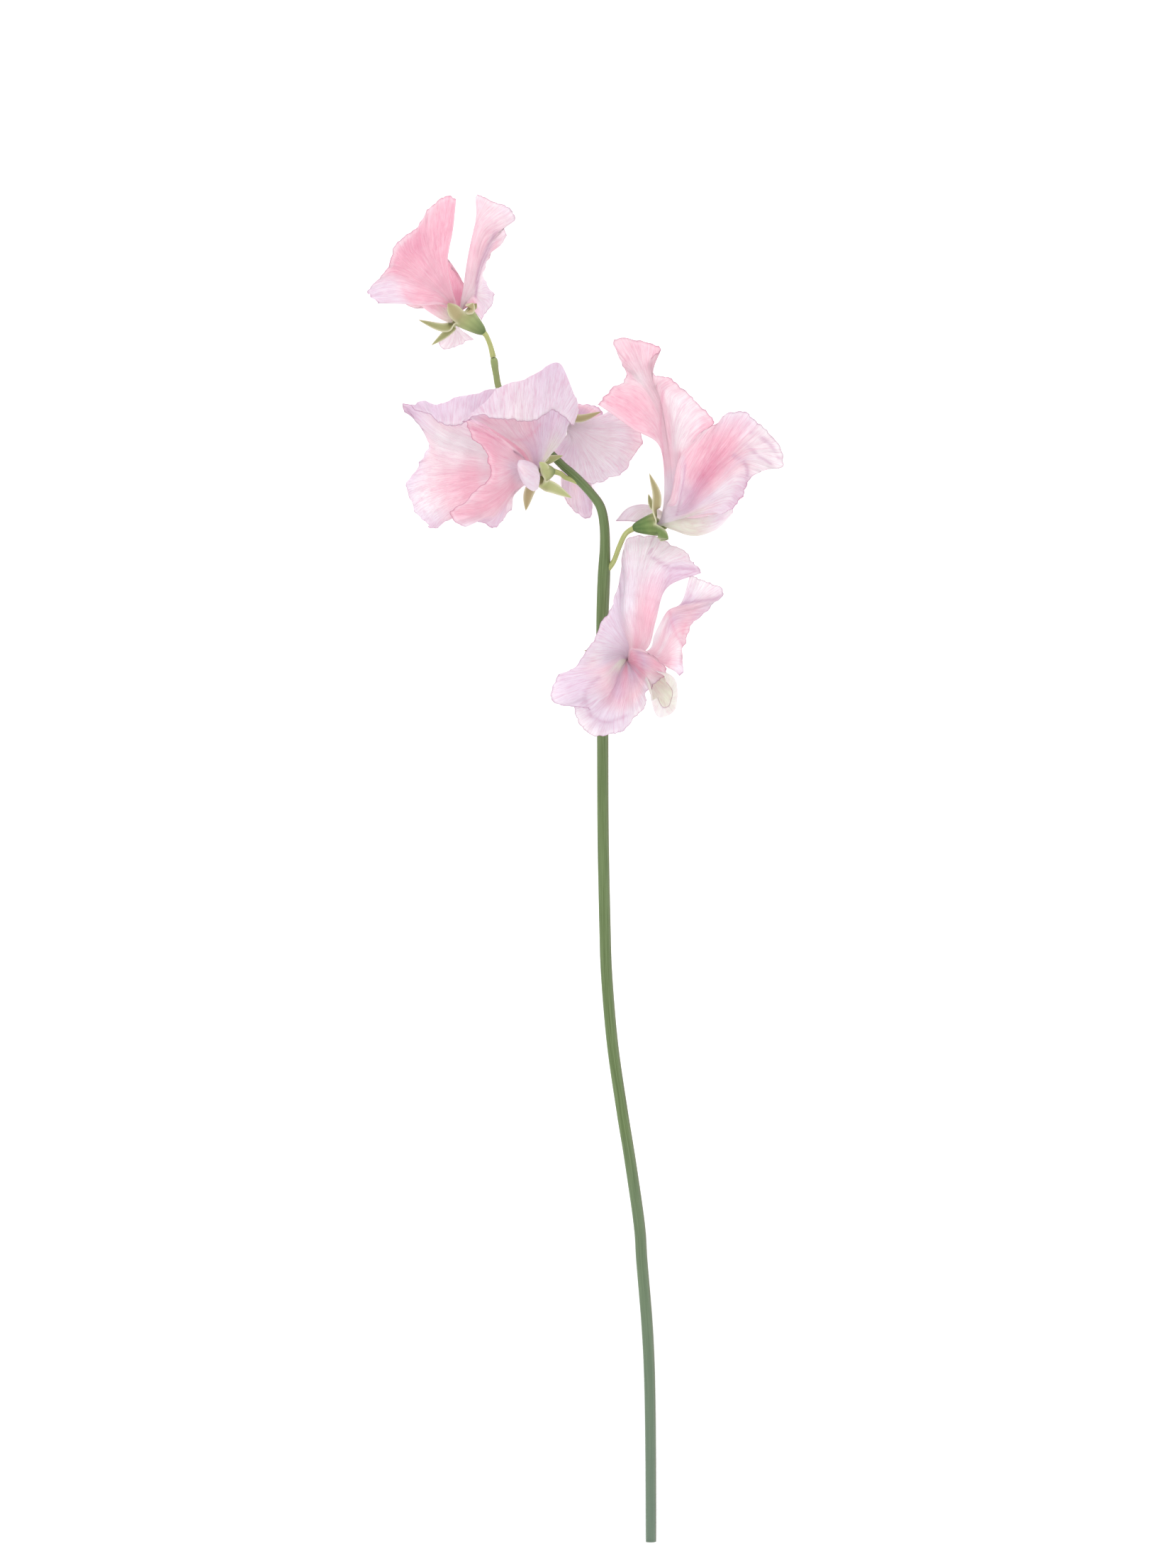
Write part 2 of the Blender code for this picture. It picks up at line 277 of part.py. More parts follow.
BACK = {
    "base": (-18.6, 304.4, 14.5), "axis": (0.95, -0.28, -0.2), "back": (0.2, -0.1, 0.95),
    "tube": 5.5,
    "stalk": ((-22.4, 302.8, 16.4), (-21.4, 303.6, 15.4), (-20.2, 304.2, 14.9), (-18.9, 304.5, 14.55)),
    "turn": 0,
    "teeth": (
        (1.0, (-13, 301.3, 16.4), (-12.2, 301, 17)),
        (1.0, (-14, 299.8, 12.4), (-13.6, 298.8, 12)),
        (1.2, (-12.8, 302.8, 8.6), (-11, 302.4, 7)),
        (1.1, (-12.2, 306.6, 13), (-11, 307.4, 13.2)),
        (1.1, (-8, 303.2, 18), (-2.3, 305, 17.6)),
    ),
    "standard": (-38, 38, (
        ((-8.3, 302.3, 15.5), (-5, 303.2, 15.5), (-2, 304.4, 14.5), (0.5, 305.8, 13)),
        ((-8, 301.6, 15.8), (-4, 301.6, 16), (0.5, 302.4, 15), (4.8, 303.3, 12.5)),
        ((-7.8, 300.8, 15.8), (-3, 299.5, 16.2), (3, 299.5, 14.5), (8.7, 298.8, 11)),
        ((-7.8, 300, 15.6), (-3, 297.3, 16), (2.5, 296, 13.8), (7, 294, 9.5)),
        ((-8, 299.2, 15.3), (-3.5, 295.2, 15.3), (0.5, 292.8, 12.5), (4, 289.8, 7.5)),
        ((-8.4, 298.5, 15), (-5, 294.3, 14.5), (-2.5, 291, 11.5), (0.5, 287.5, 6)),
        ((-9, 298, 14.6), (-7, 294, 13.8), (-5.5, 290.5, 11), (-4, 286.5, 5.5)),
        ((-9.6, 297.8, 14.2), (-9, 294, 13), (-8.8, 291, 10.5), (-9, 287.4, 6)),
        ((-10.2, 297.8, 13.6), (-11, 295, 12.2), (-12, 292.5, 10), (-13, 290, 7)),
    )),
    "wing_right": (-69, -121, (
        ((-9.2, 304.2, 12.8), (-9.2, 305.6, 12.2), (-9.2, 306.5, 11.5), (-9.2, 307.2, 10.5)),
        ((-8.8, 304, 12.2), (-8, 305.6, 11.5), (-7.3, 306.8, 11), (-7, 307.6, 10)),
        ((-8.5, 303.6, 11.6), (-6.5, 304.8, 11), (-5.2, 306, 10.4), (-4, 307, 9.4)),
        ((-8.3, 303.2, 11), (-5.8, 304, 10.3), (-3.8, 304.8, 9.7), (-2.4, 305.7, 9)),
        ((-8.1, 303, 10.4), (-5.5, 303.3, 9.6), (-3.5, 303.8, 9), (-2, 304.3, 8.4)),
    )),
    "wing_left": (69, 121, (
        ((-11, 298, 9.8), (-12, 293.5, 7), (-12.8, 289, 5), (-13.2, 286, 3.5)),
        ((-10.5, 297.8, 9.4), (-11, 293, 6.5), (-11.5, 287, 4), (-11.3, 281, 2)),
        ((-10, 297.7, 9), (-9.8, 292.5, 6), (-9.5, 285, 3.5), (-8.5, 278, 1)),
        ((-9.5, 297.8, 8.7), (-8.3, 292.5, 6), (-6.8, 285, 3.5), (-5.2, 277.3, 1)),
        ((-9, 298, 8.5), (-7, 293.5, 6), (-5.2, 288, 4), (-4.3, 283, 2)),
    )),
    "keel": (-152, -208, (
        ((-7.5, 301.5, 10.5), (-3, 300.5, 8.8), (1, 299, 7.3), (3, 298, 7.6)),
        ((-7.5, 301.5, 9), (-3, 300.5, 6.5), (1, 299, 5), (3.3, 298, 6.8)),
        ((-7.5, 299.8, 8.5), (-3, 298.3, 5.5), (1.3, 297, 4), (3.5, 297.2, 6.6)),
        ((-7.5, 298.5, 9), (-3, 296.3, 6.5), (1, 295.3, 5), (3.3, 296.5, 6.8)),
        ((-7.5, 298.5, 10.5), (-3, 296.3, 8.8), (1, 295.3, 7.3), (3, 296.5, 7.6)),
    )),
}

FLORETS = {"top": TOP, "left": LEFT, "right": RIGHT, "lower": LOWER, "back": BACK}
PETALS = ("standard", "wing_left", "wing_right", "keel")


def clear_scene():
    for obj in list(bpy.data.objects):
        bpy.data.objects.remove(obj, do_unlink=True)


def new_collection(name):
    collection = bpy.data.collections.new(name)
    bpy.context.scene.collection.children.link(collection)
    return collection


def material(name, colour, roughness):
    """One Principled surface."""
    made = bpy.data.materials.new(name)
    made.use_nodes = True
    shader = made.node_tree.nodes["Principled BSDF"]
    shader.inputs["Base Color"].default_value = (*colour, 1)
    shader.inputs["Roughness"].default_value = roughness
    shader.inputs["Metallic"].default_value = 0
    return made


def placed(points):
    """Millimetres as drawn, to metres about the middle of the flower."""
    return (np.asarray(points, float) - (CENTRE_X, CENTRE_Y, 0)) * MM


def unit(vector):
    vector = np.asarray(vector, float)
    return vector / np.linalg.norm(vector)


def floret_frame(floret):
    """Base point, opening direction, standard side and left side of one floret."""
    axis = unit(floret["axis"])
    back = np.asarray(floret["back"], float)
    back = unit(back - axis * back.dot(axis))
    return np.asarray(floret["base"], float), axis, back, np.cross(axis, back)


def ring_point(frame, height, radius, degrees):
    """A point on the circle round the floret axis at this height above the base."""
    base, axis, back, side = frame
    angle = math.radians(degrees)
    return base + axis * height + (back * math.cos(angle) + side * math.sin(angle)) * radius


def smooth_rows(rows, steps):
    """Catmull-Rom curve through the rows of an array, with this many steps between two rows."""
    rows = np.asarray(rows, float)
    before = 2 * rows[:1] - rows[1:2]
    after = 2 * rows[-1:] - rows[-2:-1]
    p = np.concatenate((before, rows, after))
    out = []
    for i in range(len(rows) - 1):
        for t in np.arange(steps) / steps:
            a, b, c, d = p[i:i + 4]
            out.append(b + 0.5 * t * (c - a + t * (2 * a - 5 * b + 4 * c - d
                                                   + t * (3 * (b - c) + d - a))))
    out.append(rows[-1])
    return np.array(out)


def sheet_mesh(name, grid):
    """An open sheet from a grid of points, one row of points per vein."""
    veins, stations = grid.shape[:2]
    index = np.arange(veins * stations).reshape(veins, stations)
    faces = np.stack((index[:-1, :-1], index[1:, :-1], index[1:, 1:], index[:-1, 1:]), -1)
    mesh = bpy.data.meshes.new(name)
    mesh.from_pydata(placed(grid.reshape(-1, 3)).tolist(), [], faces.reshape(-1, 4).tolist())
    return mesh


def shell_object(collection, name, mesh, thickness, offset, surface):
    """A sheet made solid with Solidify."""
    obj = bpy.data.objects.new(name, mesh)
    collection.objects.link(obj)
    mesh.materials.append(surface)
    mesh.shade_smooth()
    solid = obj.modifiers.new("Solidify", "SOLIDIFY")
    solid.thickness = thickness * MM
    solid.offset = offset
    solid.use_even_offset = False
    return obj


def petal_grid(floret, petal):
    """Points of one petal: two rows inside the calyx, then the drawn veins."""
    frame = floret_frame(floret)
    first, last, veins = floret[petal]
    angles = np.linspace(first, last, len(veins))
    full = []
    for angle, vein in zip(angles, veins):
        low = ring_point(frame, 1.4, CLAW_RADIUS[0], angle)
        mouth = ring_point(frame, floret["tube"] + 0.55, CLAW_RADIUS[1], angle)
        full.append((low, mouth, *vein))
    full = np.array(full, float)
    along = smooth_rows(full.transpose(1, 0, 2), 2)
    return along.transpose(1, 0, 2)


def calyx_mesh(name, floret):
    """A bell closed at the bottom, with five pointed teeth growing from its rim."""
    frame = floret_frame(floret)
    base, axis, back, side = frame
    per_tooth = 4
    around = np.arange(5 * per_tooth) * 72 / per_tooth + floret["turn"]
    verts = [base]
    faces = []
    for height, radius in CALYX_PROFILE:
        verts += [ring_point(frame, height * floret["tube"], radius, a) for a in around]
    count = len(around)
    for j in range(count):
        faces.append((0, 1 + (j + 1) % count, 1 + j))
    for row in range(len(CALYX_PROFILE) - 1):
        start = 1 + row * count
        for j in range(count):
            k = (j + 1) % count
            faces.append((start + j, start + k, start + count + k, start + count + j))
    rim = 1 + (len(CALYX_PROFILE) - 1) * count
    for number, (width, middle, tip) in enumerate(floret["teeth"]):
        angle = TEETH_ANGLES[number] + floret["turn"]
        below = [rim + (number * per_tooth + j) % count for j in range(per_tooth + 1)]
        root = ring_point(frame, floret["tube"], CALYX_PROFILE[-1][1], angle)
        tangent = unit(ring_point(frame, 0, 1, angle + 90) - base)
        spine = smooth_rows((root, middle, tip), 2)
        halves = ((1.9 + width) / 2, width, 0.65 * width, 0.2)
        for step, half in enumerate(halves, 1):
            level = np.cross(spine[step] - spine[step - 1], (0, 0, 1))
            level = unit(level) * (1 if level.dot(tangent) > 0 else -1)
            across = unit(tangent * (4 - step) + level * step)
            start = len(verts)
            for u in np.linspace(-1, 1, per_tooth + 1):
                verts.append(spine[step] + across * half * u)
            here = [start + j for j in range(per_tooth + 1)]
            for j in range(per_tooth):
                faces.append((below[j], below[j + 1], here[j + 1], here[j]))
            below = here
    mesh = bpy.data.meshes.new(name)
    mesh.from_pydata(placed(verts).tolist(), [], faces)
    return mesh


def tube_object(collection, name, points, radii, surface):
    """A round stalk along a line of points, closed at both ends."""
    curve = bpy.data.curves.new(name, "CURVE")
    curve.dimensions = "3D"
    curve.bevel_depth = MM
    curve.bevel_resolution = 2
    curve.use_fill_caps = True
    spline = curve.splines.new("POLY")
    spline.points.add(len(points) - 1)
    for place, point, radius in zip(spline.points, placed(points), radii):
        place.co = (*point, 1)
        place.radius = radius
    obj = bpy.data.objects.new(name, curve)
    collection.objects.link(obj)
    curve.materials.append(surface)
    return obj


def build():
    clear_scene()
    flower = new_collection("sweet_pea_flower")
    green = material("stem_green", (0.13, 0.24, 0.08), 0.5)
    light_green = material("stalk_green", (0.40, 0.44, 0.14), 0.5)
    calyx_green = material("calyx_green", (0.25, 0.38, 0.10), 0.5)
    pink = material("petal_pink", (0.90, 0.50, 0.62), 0.6)
    wing = material("wing_pink", (0.88, 0.58, 0.72), 0.6)
    pale = material("keel_white", (0.78, 0.78, 0.70), 0.6)
    peduncle = np.array(PEDUNCLE, float)
    tube_object(flower, "peduncle", peduncle[:, :3], peduncle[:, 3], green)
    colours = {"standard": pink, "wing_left": wing, "wing_right": wing, "keel": pale}
    for title, floret in FLORETS.items():
        stalk = smooth_rows(floret["stalk"], 2)
        tube_object(flower, title + "_stalk", stalk, [STALK_RADIUS] * len(stalk), light_green)
        shell_object(flower, title + "_calyx", calyx_mesh(title + "_calyx", floret),
                     CALYX_THICKNESS, -1, calyx_green)
        for petal in PETALS:
            name = title + "_" + petal
            shell_object(flower, name, sheet_mesh(name, petal_grid(floret, petal)),
                         PETAL_THICKNESS, 0, colours[petal])


build()
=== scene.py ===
"""A cut sweet pea lying on a pale table: the looks of the flower, built over its CAD part.

Shapes are drawn in millimetres, X across the flower head, Y along the stem from its cut end,
Z up from the table, and are moved to metres about the middle of the flower as they are made.
"""

import math

import bpy
import numpy as np
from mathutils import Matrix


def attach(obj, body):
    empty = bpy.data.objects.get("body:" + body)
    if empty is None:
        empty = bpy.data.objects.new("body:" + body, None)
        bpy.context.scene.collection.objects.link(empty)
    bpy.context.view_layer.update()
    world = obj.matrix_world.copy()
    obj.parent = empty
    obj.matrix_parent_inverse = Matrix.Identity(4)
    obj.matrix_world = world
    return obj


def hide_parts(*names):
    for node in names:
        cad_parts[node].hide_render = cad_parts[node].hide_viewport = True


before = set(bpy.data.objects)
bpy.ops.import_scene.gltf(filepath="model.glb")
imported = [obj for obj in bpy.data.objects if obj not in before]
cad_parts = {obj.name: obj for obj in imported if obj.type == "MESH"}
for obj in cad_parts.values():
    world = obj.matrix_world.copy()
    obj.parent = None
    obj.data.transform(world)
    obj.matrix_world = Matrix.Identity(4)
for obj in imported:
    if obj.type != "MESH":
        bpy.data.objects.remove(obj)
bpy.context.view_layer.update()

# ---------------------------------------------------------------------------------------------
# Stem. The long bare flower stem, cut straight across at its lower end and thinning above its
# first joint, where the florets begin. Fresh green tissue with faint lengthwise ribs, greyer
# where it has stood in water, with a brown-purple flush down one side.
# ---------------------------------------------------------------------------------------------
MM = 0.001
FLOWER_MIDDLE = np.array((-9.08, 181.5, 0))
STEM_RIBS = 5
STEM_RIB_DEPTH = 0.035
STEM_STEPS = 12
STEM_SIDES = 40
WATER_LEVEL = 112.0
PALE_FROM = 304.0
PALE_REACH = 20.0

# shapes of the two ends, as rounded_course reads them
STEM_CUT_END = ((0.35, 0.5), (0.62, 0.35), (0.82, 0.05), (0.95, -0.02))
STEM_TIP_END = ((0.92, 0.15), (0.6, 0.3))

# x, y, z and radius along the middle of the stem
STEM_COURSE = (
    (11.2, 0, 1.4, 1.4), (11.1, 24, 2.2, 1.45), (10.8, 44, 3.0, 1.5), (10.1, 59, 3.8, 1.55),
    (8.7, 76, 4.9, 1.55), (8.0, 86, 5.6, 1.55), (5.5, 103.5, 7.0, 1.55), (3.4, 116.5, 8.2, 1.55),
    (0.8, 134.5, 9.9, 1.55), (-0.8, 153, 11.7, 1.55), (-1.3, 167, 13, 1.55),
    (-1.8, 192.5, 15.5, 1.55), (-1.9, 217.5, 18, 1.55), (-2.0, 235, 19.6, 1.6),
    (-2.0, 248.5, 20.8, 1.65), (-1.6, 260.5, 21.6, 1.7), (-1.3, 268.5, 21.9, 1.4),
    (-1.5, 274.6, 22, 1.3), (-2.5, 279.3, 22, 1.25), (-4.8, 282.7, 22, 1.2),
    (-7.8, 286, 21.7, 1.2), (-10.5, 288.6, 21.2, 1.15), (-12.9, 290.7, 20.6, 1.1),
    (-17.5, 295.5, 19.3, 1.05), (-21.5, 300.5, 18.4, 1.0), (-26, 306, 18, 0.95),
    (-29.5, 310.8, 18.2, 0.9), (-30.5, 315, 18.9, 0.85), (-31, 318.3, 19.6, 1.0),
    (-31.2, 319.2, 19.8, 0.8),
)


def colour(red, green, blue):
    """A colour named by its 0 to 255 screen values, as the linear colour that shaders use."""
    screen = np.array((red, green, blue)) / 255
    return (*np.where(screen > 0.04045, ((screen + 0.055) / 1.055) ** 2.4, screen / 12.92), 1.0)


def smooth_rows(rows, steps):
    """A Catmull-Rom curve through the rows of an array: each stretch between two rows b and c,
    with a before and d after, is the cubic that leaves b along c - a and reaches c along d - b."""
    rows = np.asarray(rows, float)
    p = np.concatenate((2 * rows[:1] - rows[1:2], rows, 2 * rows[-1:] - rows[-2:-1]))
    a, b, c, d = (p[i:len(p) - 3 + i, None] for i in range(4))
    t = (np.arange(steps) / steps).reshape((1, steps) + (1,) * (rows.ndim - 1))
    curve = b + 0.5 * t * (c - a + t * (2 * a - 5 * b + 4 * c - d + t * (3 * (b - c) + d - a)))
    return np.concatenate((curve.reshape((-1,) + rows.shape[1:]), rows[-1:]))


def unit(vectors):
    """Vectors at length 1."""
    vectors = np.asarray(vectors, float)
    return vectors / np.maximum(np.linalg.norm(vectors, axis=-1, keepdims=True), 1e-9)


def grid_faces(index, flipped=False):
    """The four-sided faces between neighbouring entries of a grid of vertex numbers."""
    corners = (index[:-1, :-1], index[1:, :-1], index[1:, 1:], index[:-1, 1:])
    faces = np.stack(corners, -1).reshape(-1, 4)
    return faces[:, ::-1] if flipped else faces


# for each count of numbers at a point: the kind of mesh attribute that holds them, and its key
FIELD_KINDS = {1: ("FLOAT", "value"), 3: ("FLOAT_VECTOR", "vector"), 4: ("FLOAT_COLOR", "color")}


def new_piece(name, node, slot, material, points, faces, **fields):
    """A smooth-shaded piece of one material that stands for a CAD node. Each field is one
    number, vector or colour for every point, stored on the mesh for the material to read."""
    mesh = bpy.data.meshes.new(name)
    mesh.from_pydata(((points - FLOWER_MIDDLE) * MM).tolist(), [], faces)
    mesh.materials.append(material)
    for title, values in fields.items():
        values = np.asarray(values, float)
        kind, key = FIELD_KINDS[values.size // len(points)]
        mesh.attributes.new(title, kind, "POINT").data.foreach_set(key, values.ravel())
    mesh.shade_smooth()
    piece = bpy.data.objects.new(name, mesh)
    bpy.context.scene.collection.objects.link(piece)
    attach(piece, "root")
    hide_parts(node)


class Amount:
    """A number socket of a surface: sums on it add Math nodes, so 1 - a * b is a chain of two."""

    def __init__(self, surface, socket):
        self.surface = surface
        self.socket = socket

    def maths(self, operation, *values):
        return self.surface.add("ShaderNodeMath", {"operation": operation}, dict(enumerate(values)))

    def __add__(self, other):
        return self.maths("ADD", self, other)

    def __sub__(self, other):
        return self.maths("SUBTRACT", self, other)

    def __rsub__(self, other):
        return self.maths("SUBTRACT", other, self)

    def __mul__(self, other):
        return self.maths("MULTIPLY", self, other)

    def __truediv__(self, other):
        return self.maths("DIVIDE", self, other)

    def __pow__(self, other):
        return self.maths("POWER", self, other)

    def __abs__(self):
        return self.maths("ABSOLUTE", self)

    def clipped(self):
        """Held between 0 and 1."""
        return self.surface.add("ShaderNodeClamp", {}, {0: self})

    __radd__ = __add__
    __rmul__ = __mul__


class Surface:
    """A material on its Principled shader, and the node maker that its patterns use."""

    def __init__(self, name, roughness, gloss):
        self.material = bpy.data.materials.new(name)
        self.material.use_nodes = True
        self.tree = self.material.node_tree
        self.skin = self.tree.nodes["Principled BSDF"]
        self.end = self.tree.nodes["Material Output"]
        self.skin.inputs["Roughness"].default_value = roughness
        self.skin.inputs["Specular IOR Level"].default_value = gloss

    def feed(self, socket, value):
        if isinstance(value, Amount):
            self.tree.links.new(value.socket, socket)
        else:
            socket.default_value = value

    def add(self, kind, settings, inputs, output=0):
        """A node of this kind, its settings made first, then its sockets given values or links."""
        node = self.tree.nodes.new(kind)
        for key, value in settings.items():
            setattr(node, key, value)
        for key, value in inputs.items():
            self.feed(node.inputs[key], value)
        return Amount(self, node.outputs[output])

    def blend(self, amount, first, second, kind="MIX"):
        """First colour, going to the second as the amount goes from 0 to 1."""
        return self.add("ShaderNodeMix", {"data_type": "RGBA", "blend_type": kind},
                        {0: amount, 6: first, 7: second}, 2)

    def field(self, name, output=2):
        """A value stored on the piece: output 0 as a colour, 1 a vector, 2 a number."""
        return self.add("ShaderNodeAttribute", {"attribute_name": name}, {}, output)

    def cloud(self, place, stretch, scale, detail=2.0):
        """Soft noise from 0 to 1 over a place, drawn out by stretching the place first."""
        drawn = self.add("ShaderNodeVectorMath", {"operation": "MULTIPLY"}, {0: place, 1: stretch})
        return self.add("ShaderNodeTexNoise", {}, {"Vector": drawn, "Scale": scale, "Detail": detail})

    def relief(self, height, depth, strength=1.0):
        """Bumps from a height pattern whose full rise is depth metres."""
        bumps = self.add("ShaderNodeBump", {}, {"Strength": strength, "Distance": depth, "Height": height})
        self.feed(self.skin.inputs["Normal"], bumps)
        return bumps


def rounded_course(course, steps, sides, rib_count, rib_depth, ends):
    """A stem surface: rings about a smooth curve. At an angle a the ring stands
    radius * (1 + rib_depth * cos(rib_count * a)) from the curve. ends lists, for the first and
    the last ring, (share of the radius, millimetres ahead) steps of a cap, closed by one point."""
    rows = smooth_rows(course, steps)
    first, last = ends
    order = np.concatenate((np.zeros(len(first), int), np.arange(len(rows)),
                            np.full(len(last), len(rows) - 1)))
    share = np.concatenate(([s for s, _ in first], np.ones(len(rows)), [s for s, _ in last]))
    shift = np.concatenate(([d for _, d in first], np.zeros(len(rows)), [d for _, d in last]))
    ahead = unit(np.gradient(rows[:, :3], axis=0))
    level = unit(np.cross(ahead, (0, 0, 1)))
    rise = np.cross(level, ahead)
    angle = np.arange(sides) / sides * 2 * math.pi
    reach = (rows[order, 3] * share)[:, None] * (1 + rib_depth * np.cos(rib_count * angle))
    middle = rows[order, :3] + ahead[order] * shift[:, None]
    points = (middle[:, None] + level[order][:, None] * (reach * np.cos(angle))[..., None]
              + rise[order][:, None] * (reach * np.sin(angle))[..., None])
    travel = np.concatenate(((0,), np.cumsum(np.linalg.norm(np.diff(middle, axis=0), axis=1))))
    around = np.stack(np.broadcast_arrays(np.cos(angle), np.sin(angle), travel[:, None]), -1)
    count = len(order) * sides
    index = np.arange(count).reshape(-1, sides)
    index = np.concatenate((index, index[:, :1]), 1)
    fans = np.concatenate((np.stack((index[0, :-1], index[0, 1:], np.full(sides, count)), 1),
                           np.stack((index[-1, 1:], index[-1, :-1], np.full(sides, count + 1)), 1)))
    points = np.concatenate((points.reshape(-1, 3), middle[[0, -1]]))
    around = np.concatenate((around.reshape(-1, 3), ((0, 0, 0), (0, 0, travel[-1]))))
    return points, grid_faces(index).tolist() + fans.tolist(), around


stem_skin = Surface("stem_green_skin", 0.42, 0.35)
stem_place = stem_skin.field("around", 1)
stem_parts = stem_skin.tree.nodes.new("ShaderNodeSeparateXYZ")
stem_skin.feed(stem_parts.inputs[0], stem_place)
stem_side = Amount(stem_skin, stem_parts.outputs[0])
stem_far = Amount(stem_skin, stem_parts.outputs[2])
stem_streaks = stem_skin.cloud(stem_place, (2.6, 2.6, 0.035), 2.2, 4.0)
stem_fibres = stem_skin.cloud(stem_place, (9.0, 9.0, 0.05), 2.5, 2.0)
stem_water = (1.0 - stem_far / WATER_LEVEL).clipped() ** 0.6
stem_youth = (stem_far / PALE_REACH - PALE_FROM / PALE_REACH).clipped()
stem_colour = stem_skin.blend((stem_streaks * 2.4 - 0.7).clipped(), colour(84, 104, 56),
                              colour(118, 137, 92))
stem_colour = stem_skin.blend(stem_water * 0.7, stem_colour, colour(108, 126, 118))
stem_colour = stem_skin.blend(stem_youth * 0.75, stem_colour, colour(158, 172, 112))
stem_flush = ((stem_side * 3.0 - 2.05).clipped() * (stem_fibres * 3.0 - 0.9).clipped()).clipped()
stem_colour = stem_skin.blend(stem_flush * 0.55, stem_colour, colour(112, 88, 74))
stem_skin.feed(stem_skin.skin.inputs["Base Color"], stem_colour)
stem_skin.relief(stem_fibres, 0.00012, 0.6)

points, faces, around = rounded_course(STEM_COURSE, STEM_STEPS, STEM_SIDES, STEM_RIBS, STEM_RIB_DEPTH,
                                       (STEM_CUT_END, STEM_TIP_END))
new_piece("bare_stem", "peduncle", "peduncle", stem_skin.material, points, faces, around=around)

# ---------------------------------------------------------------------------------------------
# Floret stalks. Five thin yellow-green stalks, one from each joint of the stem to its floret.
# Each is slightly thicker at both ends, where it grows out of the stem and into the green cup.
# ---------------------------------------------------------------------------------------------
STALK_COURSES = {
    "top": (
        (-31.3, 319.6, 19.9), (-32, 322.5, 20.4), (-33, 325, 20.9), (-33.9, 326.2, 21),
    ),
    "left": (
        (-8.3, 285.9, 21.6), (-10.2, 286.6, 21.7), (-11.9, 287.2, 21.7), (-13.2, 288.2, 22.1),
        (-15.3, 288.85, 23.2),
    ),
    "right": (
        (-0.6, 262.5, 21.8), (1.1, 264.8, 22.2), (2.5, 268.5, 22.9), (4.2, 272, 23.5),
        (6.6, 273.66, 24.02),
    ),
    "lower": (
        (-1.7, 241.5, 21.0), (-0.9, 241.6, 22.1), (0.4, 241.5, 23), (2.3, 241, 24),
        (3.07, 240.45, 25.5), (3.27, 240.2, 26.4),
    ),
    "back": (
        (-23.2, 302.6, 17.6), (-22.4, 302.8, 16.4), (-21.4, 303.6, 15.4), (-20.2, 304.2, 14.9),
        (-18.3, 304.3, 14.45),
    ),
}
STALK_GIRTH = 0.68
STALK_FLARE = 0.18
STALK_STEPS = 10
STALK_SIDES = 24
STALK_RIBS = 3
STALK_RIB_DEPTH = 0.05
STALK_ENDS = (((0.6, -0.06), (0.92, -0.02)), ((0.92, 0.02), (0.6, 0.06)))

stalk_skin = Surface("stalk_yellow_green_skin", 0.45, 0.35)
stalk_place = stalk_skin.field("around", 1)
stalk_streaks = stalk_skin.cloud(stalk_place, (2.0, 2.0, 0.12), 2.5, 3.0)
stalk_colour = stalk_skin.blend((stalk_streaks * 2.2 - 0.6).clipped(), colour(150, 160, 92),
                                colour(196, 198, 138))
stalk_skin.feed(stalk_skin.skin.inputs["Base Color"], stalk_colour)
stalk_skin.relief(stalk_streaks, 0.0001, 0.5)

for title, course in STALK_COURSES.items():
    flare = 1 + STALK_FLARE * np.linspace(-1, 1, len(course)) ** 4
    thick_course = np.column_stack((course, STALK_GIRTH * flare))
    points, faces, around = rounded_course(thick_course, STALK_STEPS, STALK_SIDES, STALK_RIBS,
                                           STALK_RIB_DEPTH, STALK_ENDS)
    new_piece(title + "_floret_stalk", title + "_stalk", "stalk", stalk_skin.material, points, faces,
              around=around)

# ---------------------------------------------------------------------------------------------
# Calyces. The green cup at the foot of each floret: a smooth funnel, dark at the stalk, whose
# rim grows into five pointed teeth, olive-brown towards their tips, with a fine cream edge.
# ---------------------------------------------------------------------------------------------
BELL_PROFILE = ((0.0, 0.75), (0.14, 1.4), (0.4, 2.1), (0.72, 2.8), (1.0, 3.3))
BELL_WALL = 0.38
BELL_FLOOR = 0.4
BELL_RIBS = 10
BELL_RIB_DEPTH = 0.008
BELL_STEPS = 4
TEETH_ANGLES = (36, 108, 180, 252, 324)
TOOTH_ROOT = 1.9          # half width where a tooth leaves the rim
TOOTH_TIP = 0.06          # half width at its end
TOOTH_SHOULDER = 0.25     # share of its length where it is as wide as its own half width
TOOTH_TAPER = 2.3
TOOTH_CUPPING = 0.35
TOOTH_THINNING = 0.55     # share of the wall lost by the tip of a tooth
ARC_FADE = 3.0            # the arc of the rim is gone by 1 / 3 of a tooth's length
LEVEL_RISE = 3.5          # a tooth has turned level by 1 / 3.5 of its length
CELLS_ACROSS_TOOTH = 8
CELLS_ALONG_TOOTH = 18

